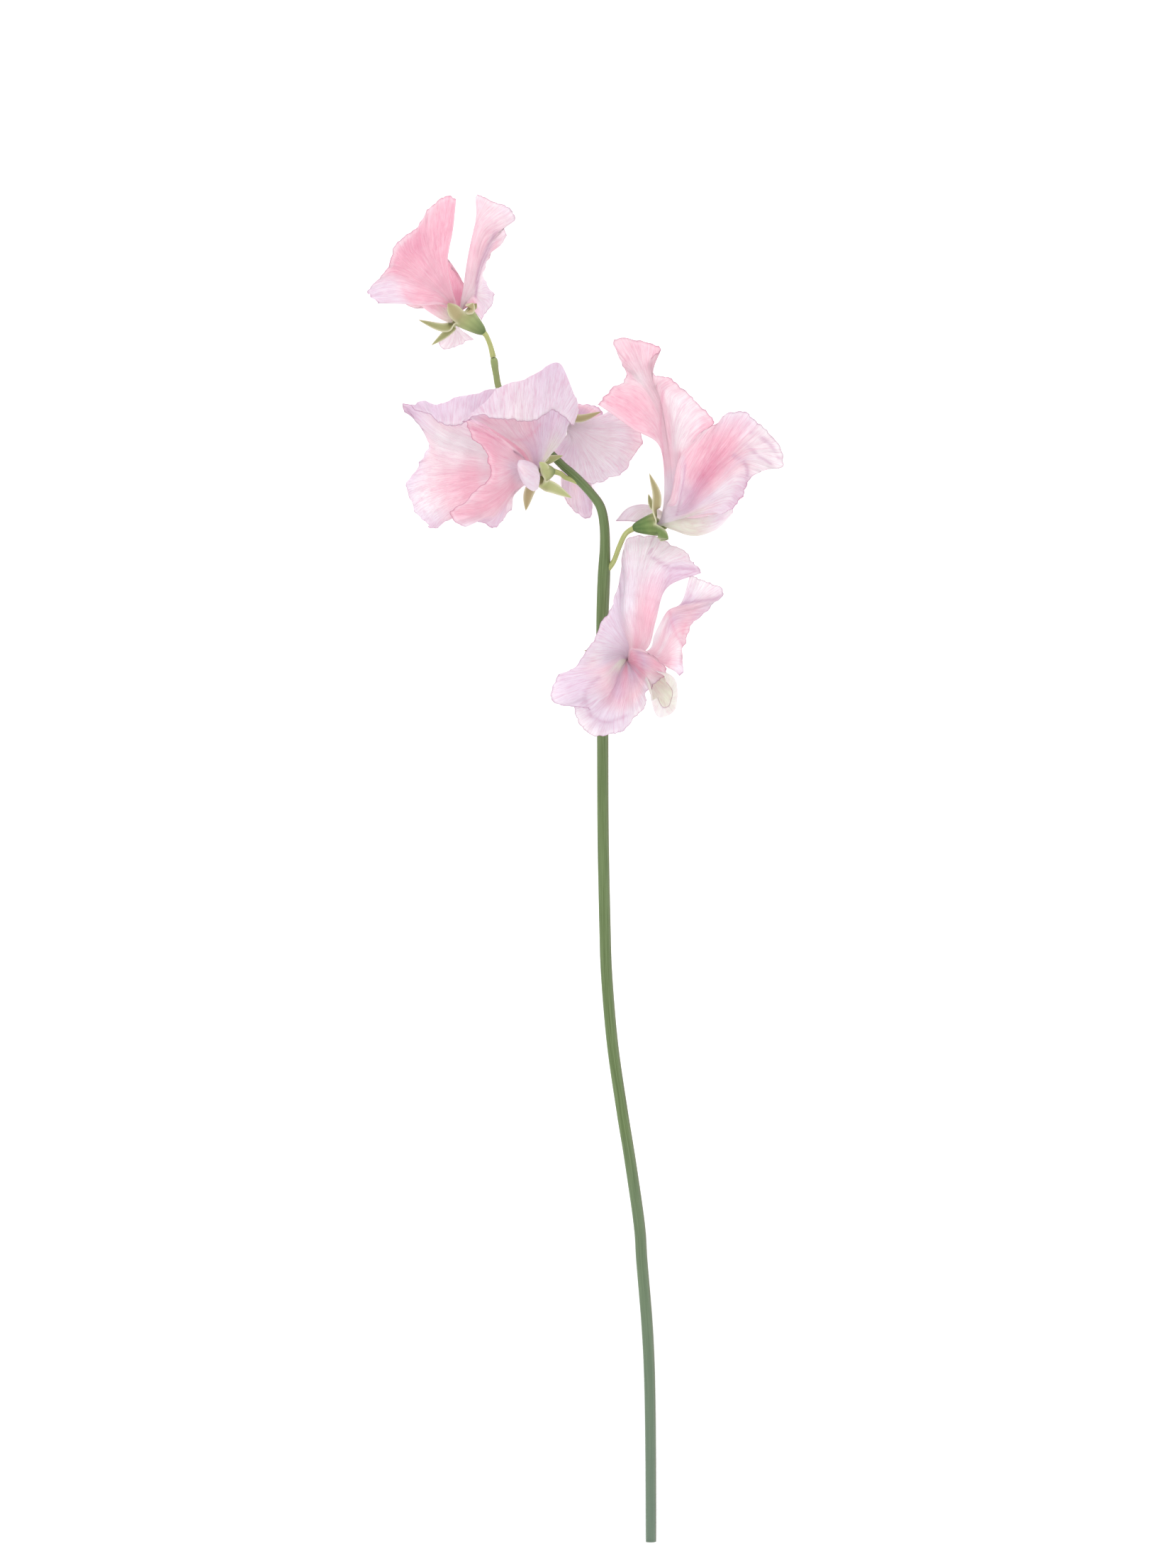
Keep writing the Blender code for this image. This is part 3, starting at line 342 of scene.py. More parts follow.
# base: where the stalk joins. axis: the way the floret opens. back: the side of its standard.
# tube: length of the bell. turn: of the teeth about the axis, in degrees. teeth: half width,
# middle and tip of each tooth. tan: how brown each tooth turns towards its tip. pale: how far
# the green has faded to yellow.
FLORETS = {
    "top": {
        "base": (-33.6, 326, 21), "axis": (-0.78, 0.62, 0.05), "back": (0.62, 0.78, 0),
        "tube": 7.5, "turn": 0, "tan": (0.6, 0.35, 0.35, 0.8, 0.8), "pale": 0.4,
        "teeth": (
            (1.0, (-36.5, 333.2, 18.4), (-35.7, 334, 18.7)),
            (1.1, (-43.6, 326.2, 19.8), (-47.8, 322.8, 19.2)),
            (1.2, (-45, 327.4, 22.8), (-51.2, 329.4, 22.3)),
            (1.9, (-41.8, 331.8, 25.6), (-43.3, 333.7, 26.6)),
            (1.6, (-37.4, 332.3, 24.6), (-36.5, 333.9, 24.8)),
        ),
    },
    "left": {
        "base": (-15, 288.9, 23), "axis": (-0.8, -0.15, 0.55), "back": (-0.57, 0.32, -0.76),
        "tube": 5.0, "turn": 20, "tan": (0.9, 0.15, 0.1, 0.3, 0.15), "pale": 0.66,
        "teeth": (
            (1.4, (-21.8, 282.5, 22.8), (-22.5, 278.3, 22)),
            (1.6, (-15.2, 284.3, 27.2), (-10.2, 281.6, 26)),
            (1.2, (-17.6, 289.8, 30.3), (-18.8, 291, 31.4)),
            (1.0, (-17.2, 292.2, 26.4), (-16.6, 293, 26.3)),
            (1.2, (-16.6, 291.8, 22.6), (-12.6, 293, 23.4)),
        ),
    },
    "right": {
        "base": (6.2, 273.6, 24), "axis": (0.98, 0.16, 0.08), "back": (-0.16, 0.98, 0),
        "tube": 6.5, "turn": 18, "tan": (0.8, 0.05, 0.0, 0.1, 0.5), "pale": 0.0,
        "teeth": (
            (1.2, (12.6, 282.2, 28.2), (10.6, 288.1, 28.4)),
            (1.5, (14.2, 271.7, 27.8), (15.7, 270.8, 28.2)),
            (1.3, (14.4, 271.2, 23.6), (15.8, 270.6, 23.4)),
            (1.2, (13.8, 274, 20.3), (15.6, 273.8, 19.6)),
            (0.8, (11.1, 280.2, 23.4), (10.4, 282.7, 23.2)),
        ),
    },
    "lower": {
        "base": (3.2, 240.3, 26), "axis": (0.2, -0.3, 0.93), "back": (-0.64, 0.77, 0.386),
        "tube": 6.5, "turn": 0, "tan": (0.5, 0.5, 0.5, 0.5, 0.5), "pale": 0.25,
        "teeth": (
            (1.1, (-2.3, 240.2, 31.3), (-6.8, 240.7, 30.8)),
            (1.2, (0.5, 233, 30.8), (-1.5, 230.5, 30)),
            (1.2, (6.6, 233.2, 29.6), (7, 231, 29)),
            (1.2, (8.6, 238.6, 31), (10, 238.2, 30.5)),
            (1.2, (4.2, 243.6, 31.5), (4, 246, 30.5)),
        ),
    },
    "back": {
        "base": (-18.6, 304.4, 14.5), "axis": (0.95, -0.28, -0.2), "back": (0.2, -0.1, 0.95),
        "tube": 5.5, "turn": 0, "tan": (0.4, 0.4, 0.4, 0.4, 0.7), "pale": 0.25,
        "teeth": (
            (1.0, (-13, 301.3, 16.4), (-12.2, 301, 17)),
            (1.0, (-14, 299.8, 12.4), (-13.6, 298.8, 12)),
            (1.2, (-12.8, 302.8, 8.6), (-11, 302.4, 7)),
            (1.1, (-12.2, 306.6, 13), (-11, 307.4, 13.2)),
            (1.1, (-8, 303.2, 18), (-2.3, 305, 17.6)),
        ),
    },
}


def floret_frame(floret):
    """Base point, opening direction, standard side and left side of one floret."""
    axis = unit(floret["axis"])
    back = np.asarray(floret["back"], float)
    back = unit(back - axis * back.dot(axis))
    return np.asarray(floret["base"], float), axis, back, np.cross(axis, back)


def ring_points(place, height, radius, degrees):
    """Points on circles round the floret axis: base + axis * height + radius at an angle that
    is measured from the standard side."""
    base, axis, back, side = place
    height, radius, angle = (np.asarray(v, float)[..., None] for v in (height, radius, np.radians(degrees)))
    return base + axis * height + (back * np.cos(angle) + side * np.sin(angle)) * radius


def two_sided(front, back, cells, rim):
    """Joins an outer and an inner skin of the same cells with a wall along their rim, a closed
    loop of vertex numbers that runs counter-clockwise as the front is seen."""
    count = len(front)
    ahead = np.roll(rim, -1)
    wall = np.stack((rim, rim + count, ahead + count, ahead), 1)
    faces = np.concatenate((cells, cells[:, ::-1] + count, wall))
    return np.concatenate((front, back)), faces


def skin_normals(points, cells):
    """The direction each point faces: the sum of the normals of the cells that meet there."""
    p = points[cells]
    facing = np.cross(p[:, 2] - p[:, 0], p[:, 3] - p[:, 1])
    total = np.zeros_like(points)
    for corner in range(4):
        np.add.at(total, cells[:, corner], facing)
    return unit(total)


def tooth_strip(place, floret, number, rim):
    """Rows of points for one tooth. They leave the rim points below it as an arc and narrow along
    a smooth curve to its tip: the point at u across and t along is the curve at t plus u times
    the half width across, cupped by 1 - u * u."""
    base, axis = place[:2]
    half_width, middle, tip = floret["teeth"][number]
    root = ring_points(place, floret["tube"], BELL_PROFILE[-1][1], TEETH_ANGLES[number] + floret["turn"])
    t = np.arange(1, CELLS_ALONG_TOOTH + 1) / CELLS_ALONG_TOOTH
    u = np.linspace(-1, 1, CELLS_ACROSS_TOOTH + 1)
    spine = smooth_rows((root, middle, tip), CELLS_ALONG_TOOTH // 2)[1:]
    run = unit(np.gradient(np.concatenate((root[None], spine)), axis=0)[1:])
    tangent = unit(np.cross(axis, root - base))
    level = unit(np.cross(run, (0, 0, 1)))
    level = level * (1 if level[CELLS_ALONG_TOOTH // 3:].mean(0).dot(tangent) > 0 else -1)
    settled = np.minimum(1, t * LEVEL_RISE)[:, None]
    across = unit(tangent * (1 - settled) + level * settled)
    narrowing = np.clip((t - TOOTH_SHOULDER) / (1 - TOOTH_SHOULDER), 0, 1) ** TOOTH_TAPER
    half = TOOTH_TIP + np.where(t < TOOTH_SHOULDER,
                                TOOTH_ROOT + (half_width - TOOTH_ROOT) * t / TOOTH_SHOULDER,
                                half_width * (1 - narrowing))
    fade = (1 - np.minimum(1, t * ARC_FADE)) ** 2
    shown = (1 - fade)[:, None]
    cupping = TOOTH_CUPPING * half[:, None] * (1 - u * u) * shown
    return (spine[:, None] + across[:, None] * (half[:, None] * u)[..., None] * shown[..., None]
            + (rim - root) * fade[:, None, None]
            + unit(np.cross(across, run))[:, None] * cupping[..., None])


def calyx_cup(floret):
    """A bell of revolution whose radius follows BELL_PROFILE, with faint ribs and five teeth on
    its rim, given a wall that thins along the teeth. Returns the closed wall and, for each point,
    its height, rib, nearness to the cream edge and brownness."""
    place = floret_frame(floret)
    base, axis = place[:2]
    count = len(TEETH_ANGLES) * CELLS_ACROSS_TOOTH
    degrees = np.arange(count) * 360 / count
    profile = smooth_rows(BELL_PROFILE, BELL_STEPS)
    ribs = np.cos(np.radians(degrees * BELL_RIBS))
    reach = profile[:, 1:] * (1 + BELL_RIB_DEPTH * ribs * np.minimum(1, profile[:, :1] * 2))
    bell = ring_points(place, np.broadcast_to(profile[:, :1] * floret["tube"], reach.shape), reach,
                       np.broadcast_to(degrees + floret["turn"], reach.shape)).reshape(-1, 3)
    notch = np.abs(np.linspace(-1, 1, CELLS_ACROSS_TOOTH, endpoint=False)) ** 4
    notch = np.tile(notch, len(TEETH_ANGLES))
    around = np.interp(degrees, TEETH_ANGLES, floret["tan"], period=360)
    points = [bell]
    height = [np.repeat(profile[:, 0], count)]
    rib = [np.tile(ribs, len(profile))]
    edge = [np.outer(np.clip(profile[:, 0] * 8 - 7, 0, 1), notch).ravel()]
    tan = [np.tile(around, len(profile))]
    index = np.arange(len(bell)).reshape(-1, count)
    cells = [grid_faces(np.concatenate((index, index[:, :1]), 1), True)]
    outline = []
    total = len(bell)
    u = np.linspace(-1, 1, CELLS_ACROSS_TOOTH + 1)
    for number, brownness in enumerate(floret["tan"]):
        below = index[-1][(number * CELLS_ACROSS_TOOTH + np.arange(len(u))) % count]
        strip = tooth_strip(place, floret, number, bell[below])
        rises = len(strip)
        grid = np.concatenate((below[None], total + np.arange(strip[..., 0].size).reshape(rises, -1)))
        cells.append(grid_faces(grid, True))
        outline.append(np.concatenate((grid[:, 0], grid[-1, 1:-1], grid[:0:-1, -1])))
        points.append(strip.reshape(-1, 3))
        height.append(np.repeat(1 + np.arange(1, rises + 1) / rises, len(u)))
        rib.append(np.tile(np.cos(u * math.pi) * 0.6, rises))
        edge.append(np.tile(np.abs(u) ** 4, rises))
        tan.append(np.full(rises * len(u), brownness))
        total += rises * len(u)
    outer = np.concatenate(points)
    cells = np.concatenate(cells)
    fields = [np.concatenate(values) for values in (height, rib, edge, tan)]
    wall = BELL_WALL * np.where(fields[0] > 1, 1 - TOOTH_THINNING * (fields[0] - 1), 1)
    inner = outer - skin_normals(outer, cells) * wall[:, None]
    solid, faces = two_sided(outer, inner, cells, np.concatenate(outline)[::-1])
    foot = len(solid)
    solid = np.concatenate((solid, (base, base + axis * BELL_FLOOR)))
    ring = np.concatenate((index[0], index[0, :1]))
    outside = np.stack((ring[1:], ring[:-1], np.full(count, foot)), 1)
    inside = np.stack((ring[:-1] + len(outer), ring[1:] + len(outer), np.full(count, foot + 1)), 1)
    fields = [np.concatenate((values, values, (0, 0))) for values in fields]
    return solid, faces.tolist() + outside.tolist() + inside.tolist(), *fields


calyx_skin = Surface("calyx_green_leaf", 0.5, 0.3)
calyx_height = calyx_skin.field("height")
calyx_rib = calyx_skin.field("rib")
calyx_edge = calyx_skin.field("edge")
calyx_tan = calyx_skin.field("tan")
calyx_place = calyx_skin.add("ShaderNodeTexCoord", {}, {}, "Object")
calyx_mottle = calyx_skin.cloud(calyx_place, (1, 1, 1), 420.0, 3.0)
calyx_grain = calyx_skin.cloud(calyx_place, (1, 1, 1), 1900.0, 2.0)
calyx_lightness = (calyx_rib * 0.3 + calyx_mottle * 1.6 - 0.3).clipped()
calyx_colour = calyx_skin.blend(calyx_lightness, colour(84, 114, 54), colour(124, 146, 86))
calyx_colour = calyx_skin.blend(calyx_skin.field("pale"), calyx_colour, colour(206, 208, 150))
calyx_foot = (1.0 - calyx_height * 1.5).clipped() * 0.8
calyx_colour = calyx_skin.blend(calyx_foot, calyx_colour, colour(70, 100, 54))
calyx_brown = (calyx_height * 1.6 - 1.0).clipped() * calyx_tan
calyx_colour = calyx_skin.blend(calyx_brown, calyx_colour, colour(178, 160, 122))
calyx_colour = calyx_skin.blend(calyx_edge * 0.75, calyx_colour, colour(226, 224, 192))
calyx_skin.feed(calyx_skin.skin.inputs["Base Color"], calyx_colour)
calyx_skin.relief(calyx_mottle + calyx_grain * 0.5, 0.00018, 0.6)

for title, floret in FLORETS.items():
    points, faces, height, rib, edge, tan = calyx_cup(floret)
    new_piece(title + "_calyx_cup", title + "_calyx", "calyx", calyx_skin.material, points, faces,
              height=height, rib=rib, edge=edge, tan=tan, pale=np.full(len(points), floret["pale"]))

# ---------------------------------------------------------------------------------------------
# Petals. Each floret has an upright standard, two wings and a keel: thin translucent sheets that
# start as narrow greenish claws inside the calyx, spread along fine veins, and ruffle at their
# margins. Pink to lilac tissue, deeper in the throat, nearly white elsewhere. Shade in the folds
# and creases and a highlight along one ridge are painted into the colour.
# ---------------------------------------------------------------------------------------------
PETAL_THICKNESS = 0.26
CLAW_RADIUS = (0.6, 0.35)     # of the lower and upper claw rows, from the floret's axis
CLAW_FOOT = 1.4               # height of the lower row above the foot of the calyx
CLAW_MOUTH = 0.55             # height of the upper row above its rim
STEPS_ACROSS = 8
STEPS_ALONG = 9
ROUTE_STEPS = 4
RUFFLES = {"standard": 0.45, "wing": 0.45, "keel": 0.08}
RUFFLE_START = 0.45           # share of the way out where the ruffles begin
RUFFLE_WAVE = 9.0
NOTCH_WAVES = (2.7, 1.3)
NOTCH_DEPTH = 0.3             # of the ruffles
THIN_MARGIN = 0.35            # share of the thickness left at the margin
THIN_REACH = 1.5              # distance over which a petal gains its full thickness


def tissue_colour(red, green, blue):
    """Light meets both skins of a petal and takes their colour twice, so each is made paler."""
    return (*np.array(colour(red, green, blue)[:3]) ** 0.45, 1.0)


PETAL_COLOURS = {
    "w": tissue_colour(254, 250, 252),    # white
    "l": tissue_colour(245, 234, 246),    # palest lilac
    "L": tissue_colour(236, 217, 238),    # lilac
    "m": tissue_colour(226, 188, 216),    # mauve, also painted as shade under lips and folds
    "p": tissue_colour(253, 228, 235),    # palest pink
    "P": tissue_colour(253, 208, 221),    # pink
    "R": tissue_colour(252, 184, 204),    # rose
    "D": tissue_colour(238, 150, 180),    # deep rose of the throat, also painted as shade and shadow in folds
    "g": tissue_colour(234, 238, 216),    # greenish white of the claws
    "c": tissue_colour(240, 232, 216),    # cream
    "M": tissue_colour(190, 134, 172),    # mauve, painted as shade along creases
    "k": tissue_colour(110, 66, 92),      # dark, painted as shade deep in a fold
}


def petal_skin(name, vein_depth, translucence):
    """Petal tissue: the colour stored on the piece, deepened along veins that follow the petal's
    own lines, with a fine crinkle, and at the margin a thin darker line with a pale band inside
    it. Part of the light passes through."""
    skin = Surface(name, 0.62, 0.18)
    tint = skin.field("tint", 0)
    lines = skin.field("lines", 1)
    inset = skin.field("inset")
    broad = skin.cloud(lines, (0.9, 0.06, 1.0), 1.0, 3.0)
    fine = skin.cloud(lines, (2.8, 0.16, 1.0), 1.0, 2.0)
    crinkle = skin.cloud(lines, (0.9, 0.5, 1.0), 1.0, 3.0)
    veins = ((1.0 - abs(broad - 0.5) * 22.0).clipped() * 0.5
             + (1.0 - abs(fine - 0.5) * 14.0).clipped() * 0.5)
    deeper = skin.blend(1.0, tint, colour(238, 196, 216), "MULTIPLY")
    edge = skin.blend(1.0, tint, colour(214, 172, 196), "MULTIPLY")
    tissue = skin.blend((veins * vein_depth).clipped(), tint, deeper)
    tissue = skin.blend((crinkle * 2.4 - 1.1).clipped() * 0.35, tissue, colour(255, 250, 252))
    tissue = skin.blend((1.0 - abs(inset - 0.9) * 1.5).clipped() * 0.3, tissue, colour(255, 250, 252))
    tissue = skin.blend((1.0 - inset * 3.2).clipped() * 0.75, tissue, edge)
    skin.feed(skin.skin.inputs["Base Color"], tissue)
    bumps = skin.relief(crinkle * 0.8 + veins * 0.35, 0.0005, 0.5)
    through = skin.tree.nodes.new("ShaderNodeBsdfTranslucent")
    skin.feed(through.inputs["Color"], tissue)
    skin.feed(through.inputs["Normal"], bumps)
    mixed = skin.tree.nodes.new("ShaderNodeMixShader")
    mixed.inputs[0].default_value = translucence
    skin.tree.links.new(skin.skin.outputs[0], mixed.inputs[1])
    skin.tree.links.new(through.outputs[0], mixed.inputs[2])
    skin.tree.links.new(mixed.outputs[0], skin.end.inputs["Surface"])
    return skin.material


PETAL_SKINS = {
    "standard": petal_skin("standard_petal_tissue", 0.55, 0.55),
    "wing": petal_skin("wing_petal_tissue", 0.55, 0.55),
    "keel": petal_skin("keel_petal_tissue", 0.35, 0.5),
}


def even_rows(rows, steps):
    """Straight steps between the rows of an array."""
    t = (np.arange(steps) / steps).reshape((1, steps) + (1,) * (rows.ndim - 1))
    between = rows[:-1, None] * (1 - t) + rows[1:, None] * t
    return np.concatenate((between.reshape((-1,) + rows.shape[1:]), rows[-1:]))


def both_ways(rows, way):
    """The same steps made along the veins, then across them."""
    along = way(np.asarray(rows, float).transpose(1, 0, 2), STEPS_ALONG)
    return way(along.transpose(1, 0, 2), STEPS_ACROSS)


def run_lengths(points, axis):
    """Distance travelled along one direction of a grid, in millimetres."""
    steps = np.linalg.norm(np.diff(points, axis=axis), axis=-1)
    return np.concatenate((np.zeros_like(steps.take([0], axis)), np.cumsum(steps, axis)), axis)


def route_distance(points, route):
    """Distance of points from a curve drawn through a route of X and Y: the least of their
    distances from its straight pieces. One place is a route too."""
    curve = smooth_rows(route, ROUTE_STEPS) if len(route) > 1 else np.array(route, float)
    away = np.linalg.norm(points - curve[0], axis=-1)
    for start, end in zip(curve, curve[1:]):
        stretch = end - start
        along = np.clip((points - start) @ stretch / (stretch @ stretch), 0, 1)
        away = np.minimum(away, np.linalg.norm(points - start - along[..., None] * stretch, axis=-1))
    return away


def sheet_normals(sheet):
    """The direction the front of a sheet faces at each of its points."""
    return unit(np.cross(np.gradient(sheet, axis=0), np.gradient(sheet, axis=1)))


def ruffled(sheet, depth, phase):
    """A sheet pushed along its normal by depth * grown ** 2 * (three sines of the distance along
    the margin), where grown goes from 0 about halfway out to 1 at the margin, and notched
    lengthwise by two more. The phase shifts the waves from petal to petal."""
    turns = 2 * math.pi * run_lengths(sheet, 0)[:, -1:]
    outward = np.linspace(0, 1, sheet.shape[1])[None]
    grown = np.clip((outward - RUFFLE_START) / (1 - RUFFLE_START), 0, 1)
    swell = (np.sin(turns / RUFFLE_WAVE + phase + 2 * outward)
             + 0.5 * np.sin(turns / (RUFFLE_WAVE * 0.43) + 2.3 * phase - 3 * outward)
             + 0.25 * np.sin(turns / (RUFFLE_WAVE * 0.21) + 1.7 * phase))
    sheet = sheet + sheet_normals(sheet) * (depth * grown ** 2 * swell)[..., None]
    notches = np.sin(turns / NOTCH_WAVES[0] + phase) + 0.7 * np.sin(turns / NOTCH_WAVES[1] + 2 * phase)
    cut = NOTCH_DEPTH * depth * grown ** 4 * notches
    return sheet + unit(np.gradient(sheet, axis=1)) * cut[..., None]


def petal(title, organ, angles, veins, marks=()):
    """One petal on its floret, standing at these angles about its axis. Two claw rows inside the
    calyx and the drawn veins make a net that Catmull-Rom curves fill in both ways. A vein is a
    word with one colour letter for each of its points, then the points from the calyx out. A
    mark is a letter, a reach, a strength and a route of X and Y. It adds its colour by strength
    * exp(-(distance from the route / reach) ** 2), as a soft patch or a crease, and the broadest
    mark is painted first."""
    kind = organ.split("_")[0]
    floret = FLORETS[title]
    place = floret_frame(floret)
    degrees = np.linspace(*angles, len(veins))
    low, mouth = (ring_points(place, np.full(len(veins), height), np.full(len(veins), radius), degrees)
                  for height, radius in zip((CLAW_FOOT, floret["tube"] + CLAW_MOUTH), CLAW_RADIUS))
    drawn = np.concatenate((low[:, None], mouth[:, None], [vein[1:] for vein in veins]), 1)
    sheet = both_ways(drawn, smooth_rows)
    letters = ("g" + vein[0][0] + vein[0] for vein in veins)
    tint = both_ways([[PETAL_COLOURS[key] for key in word] for word in letters], even_rows)
    across, along = run_lengths(sheet, 0), run_lengths(sheet, 1)
    phase = sum(map(ord, title + organ)) % 17
    sheet = ruffled(sheet, RUFFLES[kind], phase)
    for key, reach, strength, *route in sorted(marks, key=lambda mark: -mark[1]):
        near = strength * np.exp(-(route_distance(sheet[..., :2], route) / reach) ** 2)
        tint = tint + near[..., None] * (np.array(PETAL_COLOURS[key]) - tint)
    to_margin = np.minimum(along[:, -1:] - along, np.minimum(across, across[-1:] - across) + 0.6)
    half = 0.5 * PETAL_THICKNESS * np.clip(THIN_MARGIN + to_margin / THIN_REACH, 0, 1)
    shift = sheet_normals(sheet) * half[..., None]
    index = np.arange(half.size).reshape(half.shape)
    rim = np.concatenate((index[:-1, 0], index[-1, :-1], index[:0:-1, -1], index[0, :0:-1]))
    points, faces = two_sided((sheet + shift).reshape(-1, 3), (sheet - shift).reshape(-1, 3),
                              grid_faces(index), rim)
    lines = np.stack((np.broadcast_to(across[:, -1:], along.shape), along,
                      np.full(along.shape, phase * 7.0)), -1)
    new_piece(title + "_" + organ + "_petal", title + "_" + organ, kind, PETAL_SKINS[kind], points,
              faces.tolist(), tint=np.tile(tint.reshape(-1, 4), (2, 1)),
              lines=np.tile(lines.reshape(-1, 3), (2, 1)), inset=np.tile(to_margin.ravel(), 2))


# ---------------------------------------------------------------------------------------------
# Top floret. It stands at the tip of the stem and opens towards its tip and to the left. The
# standard is a narrow pale pink sheet, the rose wings sweep to the left, and the left one has a
# white lobe that shows below the calyx.
# ---------------------------------------------------------------------------------------------
petal("top", "standard", (-38, 45.6), (
    ("pPPp", (-36.5, 337, 23.5), (-35, 341, 26), (-33.5, 346, 28), (-31, 351.5, 28.5)),
    ("pPPw", (-37, 338, 24), (-35.2, 345, 27.5), (-33, 351, 29.5), (-25.5, 355.7, 29)),
    ("pPpw", (-37.6, 339, 24), (-36, 347, 28), (-33.5, 354, 30), (-27.2, 359.2, 30)),
    ("pPpp", (-38.3, 339, 23.5), (-37, 348, 26.5), (-35, 356, 28), (-31, 360.7, 28.5)),
    ("pPPp", (-39, 339, 22.5), (-37.6, 348, 24), (-35.6, 357, 24), (-35.9, 363, 22)),
    ("pPPp", (-38.5, 339, 21), (-37, 348, 20.5), (-35, 355, 19.5), (-32, 359, 18)),
    ("pPPw", (-37.6, 338, 19.5), (-35, 345, 17.5), (-32, 350, 15.5), (-28, 352.7, 14)),
    ("ppPP", (-37, 337.8, 18.9), (-35.4, 341.5, 16.8), (-34.4, 343.5, 15.2), (-33.7, 344.8, 14.4)),
    ("plll", (-36.5, 337, 18.2), (-35, 338.8, 15.6), (-34, 340, 13.6), (-32.9, 339.6, 12)),
    ("pwll", (-36.8, 336.6, 18), (-34.4, 336.4, 15), (-32.6, 336, 13), (-31.3, 335, 12)),
    ("plll", (-36.8, 335.9, 17.7), (-35, 334.4, 15), (-34, 333, 13), (-33.7, 331.2, 12)),
    ("DPll", (-37.2, 333.4, 17.8), (-36.5, 332.2, 15.4), (-35.6, 331.2, 13.6), (-34.8, 330.4, 12)),
), marks=(
    ("w", 0.7, 0.8, (-31.2, 351.4), (-34, 344), (-35.4, 337)),
    # Painted shade: a thin mauve line along the crease.
    ("M", 0.35, 0.7, (-30.4, 352.8), (-32.9, 348), (-35.1, 342.3), (-36.1, 336)),
    ("R", 0.5, 0.5, (-30.4, 350.5), (-32.6, 346.7)),
    ("m", 1.5, 0.5, (-27.5, 359)),
    ("m", 1.3, 0.4, (-25.8, 356)),
))

petal("top", "wing_left", (62.4, 135), (
    ("DDRR", (-38.3, 334.6, 20.5), (-38.2, 336.2, 19.8), (-39, 338.2, 18.8), (-40.6, 340.6, 17.6)),
    ("DRRP", (-40.6, 336.5, 19), (-40.2, 339.5, 17.5), (-41, 342.5, 16), (-43.5, 346, 15)),
    ("DRRP", (-42, 336.5, 18.5), (-44, 341, 15.5), (-46.5, 346, 14), (-49, 350, 13.5)),
    ("RRPP", (-43, 335.5, 18), (-46.5, 339.5, 14), (-50.5, 343, 12), (-54, 346, 12)),
    ("RRPP", (-43.5, 334.5, 18), (-48, 336.5, 13.5), (-53, 338.5, 11.5), (-57, 339.5, 11.5)),
    ("RRPP", (-43.5, 333.2, 18), (-47.5, 333.8, 14.5), (-52, 334.3, 12.5), (-56, 334.8, 12.5)),
    ("gggg", (-43, 332.3, 17.6), (-43.8, 332.2, 16.4), (-44.6, 332, 15.6), (-45.4, 331.7, 15.2)),
    ("gggg", (-42.6, 331.2, 17.4), (-42.9, 330.4, 15.8), (-43.2, 329.6, 14.8), (-43.6, 329, 14.2)),
    ("wwww", (-42.8, 330.8, 17.2), (-42.8, 327.6, 14), (-44, 325.2, 12), (-46, 323.4, 10.5)),
    ("wwww", (-42.4, 330.2, 17.1), (-41.8, 327, 14), (-42, 324.6, 11.6), (-43, 322.6, 10)),
    ("wwww", (-42, 329.7, 17), (-40.8, 326.9, 14), (-40, 325.2, 11.8), (-39.4, 323.6, 10)),
    ("wwww", (-41.7, 329.3, 16.9), (-39.8, 327, 14.2), (-38.4, 326.2, 12.4), (-36.8, 325.2, 10.6)),
))

petal("top", "wing_right", (-69, -121), (
    ("RRRR", (-42.5, 338.5, 26), (-43.4, 345, 28.5), (-42, 353, 30), (-41.2, 361.3, 29)),
    ("RRRR", (-43, 338, 26.8), (-45, 346, 31), (-44.5, 355, 32.5), (-44, 362, 31)),
    ("RRRP", (-43.5, 337.5, 27), (-47, 345, 33), (-48, 352, 34), (-47.5, 359.3, 32)),
    ("RRDP", (-44, 337, 27), (-48.5, 343.5, 34), (-51.5, 348.5, 33.5), (-52, 353.3, 32)),
    ("RRRp", (-44.5, 336.5, 27), (-49.5, 341, 34), (-54.5, 346.5, 31.5), (-56.6, 349.5, 33)),
    ("PRRP", (-45, 336, 26.8), (-50.5, 339, 33.5), (-57, 342, 31.5), (-60.3, 341.3, 32)),
    ("RRlL", (-45, 335.2, 26.3), (-51, 336.8, 33), (-58.5, 338.5, 31.5), (-64.5, 337.2, 30.5)),
    ("RRlL", (-45, 334.2, 25.6), (-51.5, 334.5, 32), (-57.5, 335.5, 32), (-63.8, 335.2, 28.5)),
    ("PPlL", (-44.5, 333.3, 25), (-50, 333, 29.5), (-55.5, 333.3, 29.5), (-62, 333.4, 26.5)),
), marks=(
    # Painted shade: a thin mauve line along a crease.
    ("M", 0.35, 0.6, (-62.4, 333.5), (-57, 333.1), (-51.3, 332.4)),
    ("R", 0.5, 0.6, (-55.4, 338.8), (-54.2, 335.4), (-51.3, 332.9)),
    ("l", 3.0, 0.7, (-59.5, 337.2)),
    # Painted shadow: deep rose patches where the wing shades its own body.
    ("D", 1.8, 0.45, (-50.3, 352.3)),
    ("D", 2, 0.45, (-52.5, 350)),
    ("D", 2, 0.4, (-55, 347.2)),
    ("D", 1.8, 0.35, (-57.6, 344.4)),
))

petal("top", "keel", (-152, -208), (
    ("cPPp", (-43, 331.5, 22.8), (-46.5, 334, 23), (-49.5, 336.5, 22.6), (-51, 339, 21.7)),
    ("cPPp", (-43, 330, 23), (-47, 332, 23.3), (-50.5, 334.8, 22.7), (-51.5, 338, 21.8)),
    ("cPPp", (-43, 329, 21.3), (-47.3, 331, 21.3), (-51, 334, 21.3), (-52, 337.5, 21.3)),
    ("cPPp", (-43, 330, 19.6), (-47, 332, 19.4), (-50.5, 334.8, 20), (-51.5, 338, 20.9)),
    ("cPPp", (-43, 331.5, 19.8), (-46.5, 334, 19.6), (-49.5, 336.5, 20.1), (-51, 339, 20.9)),
))
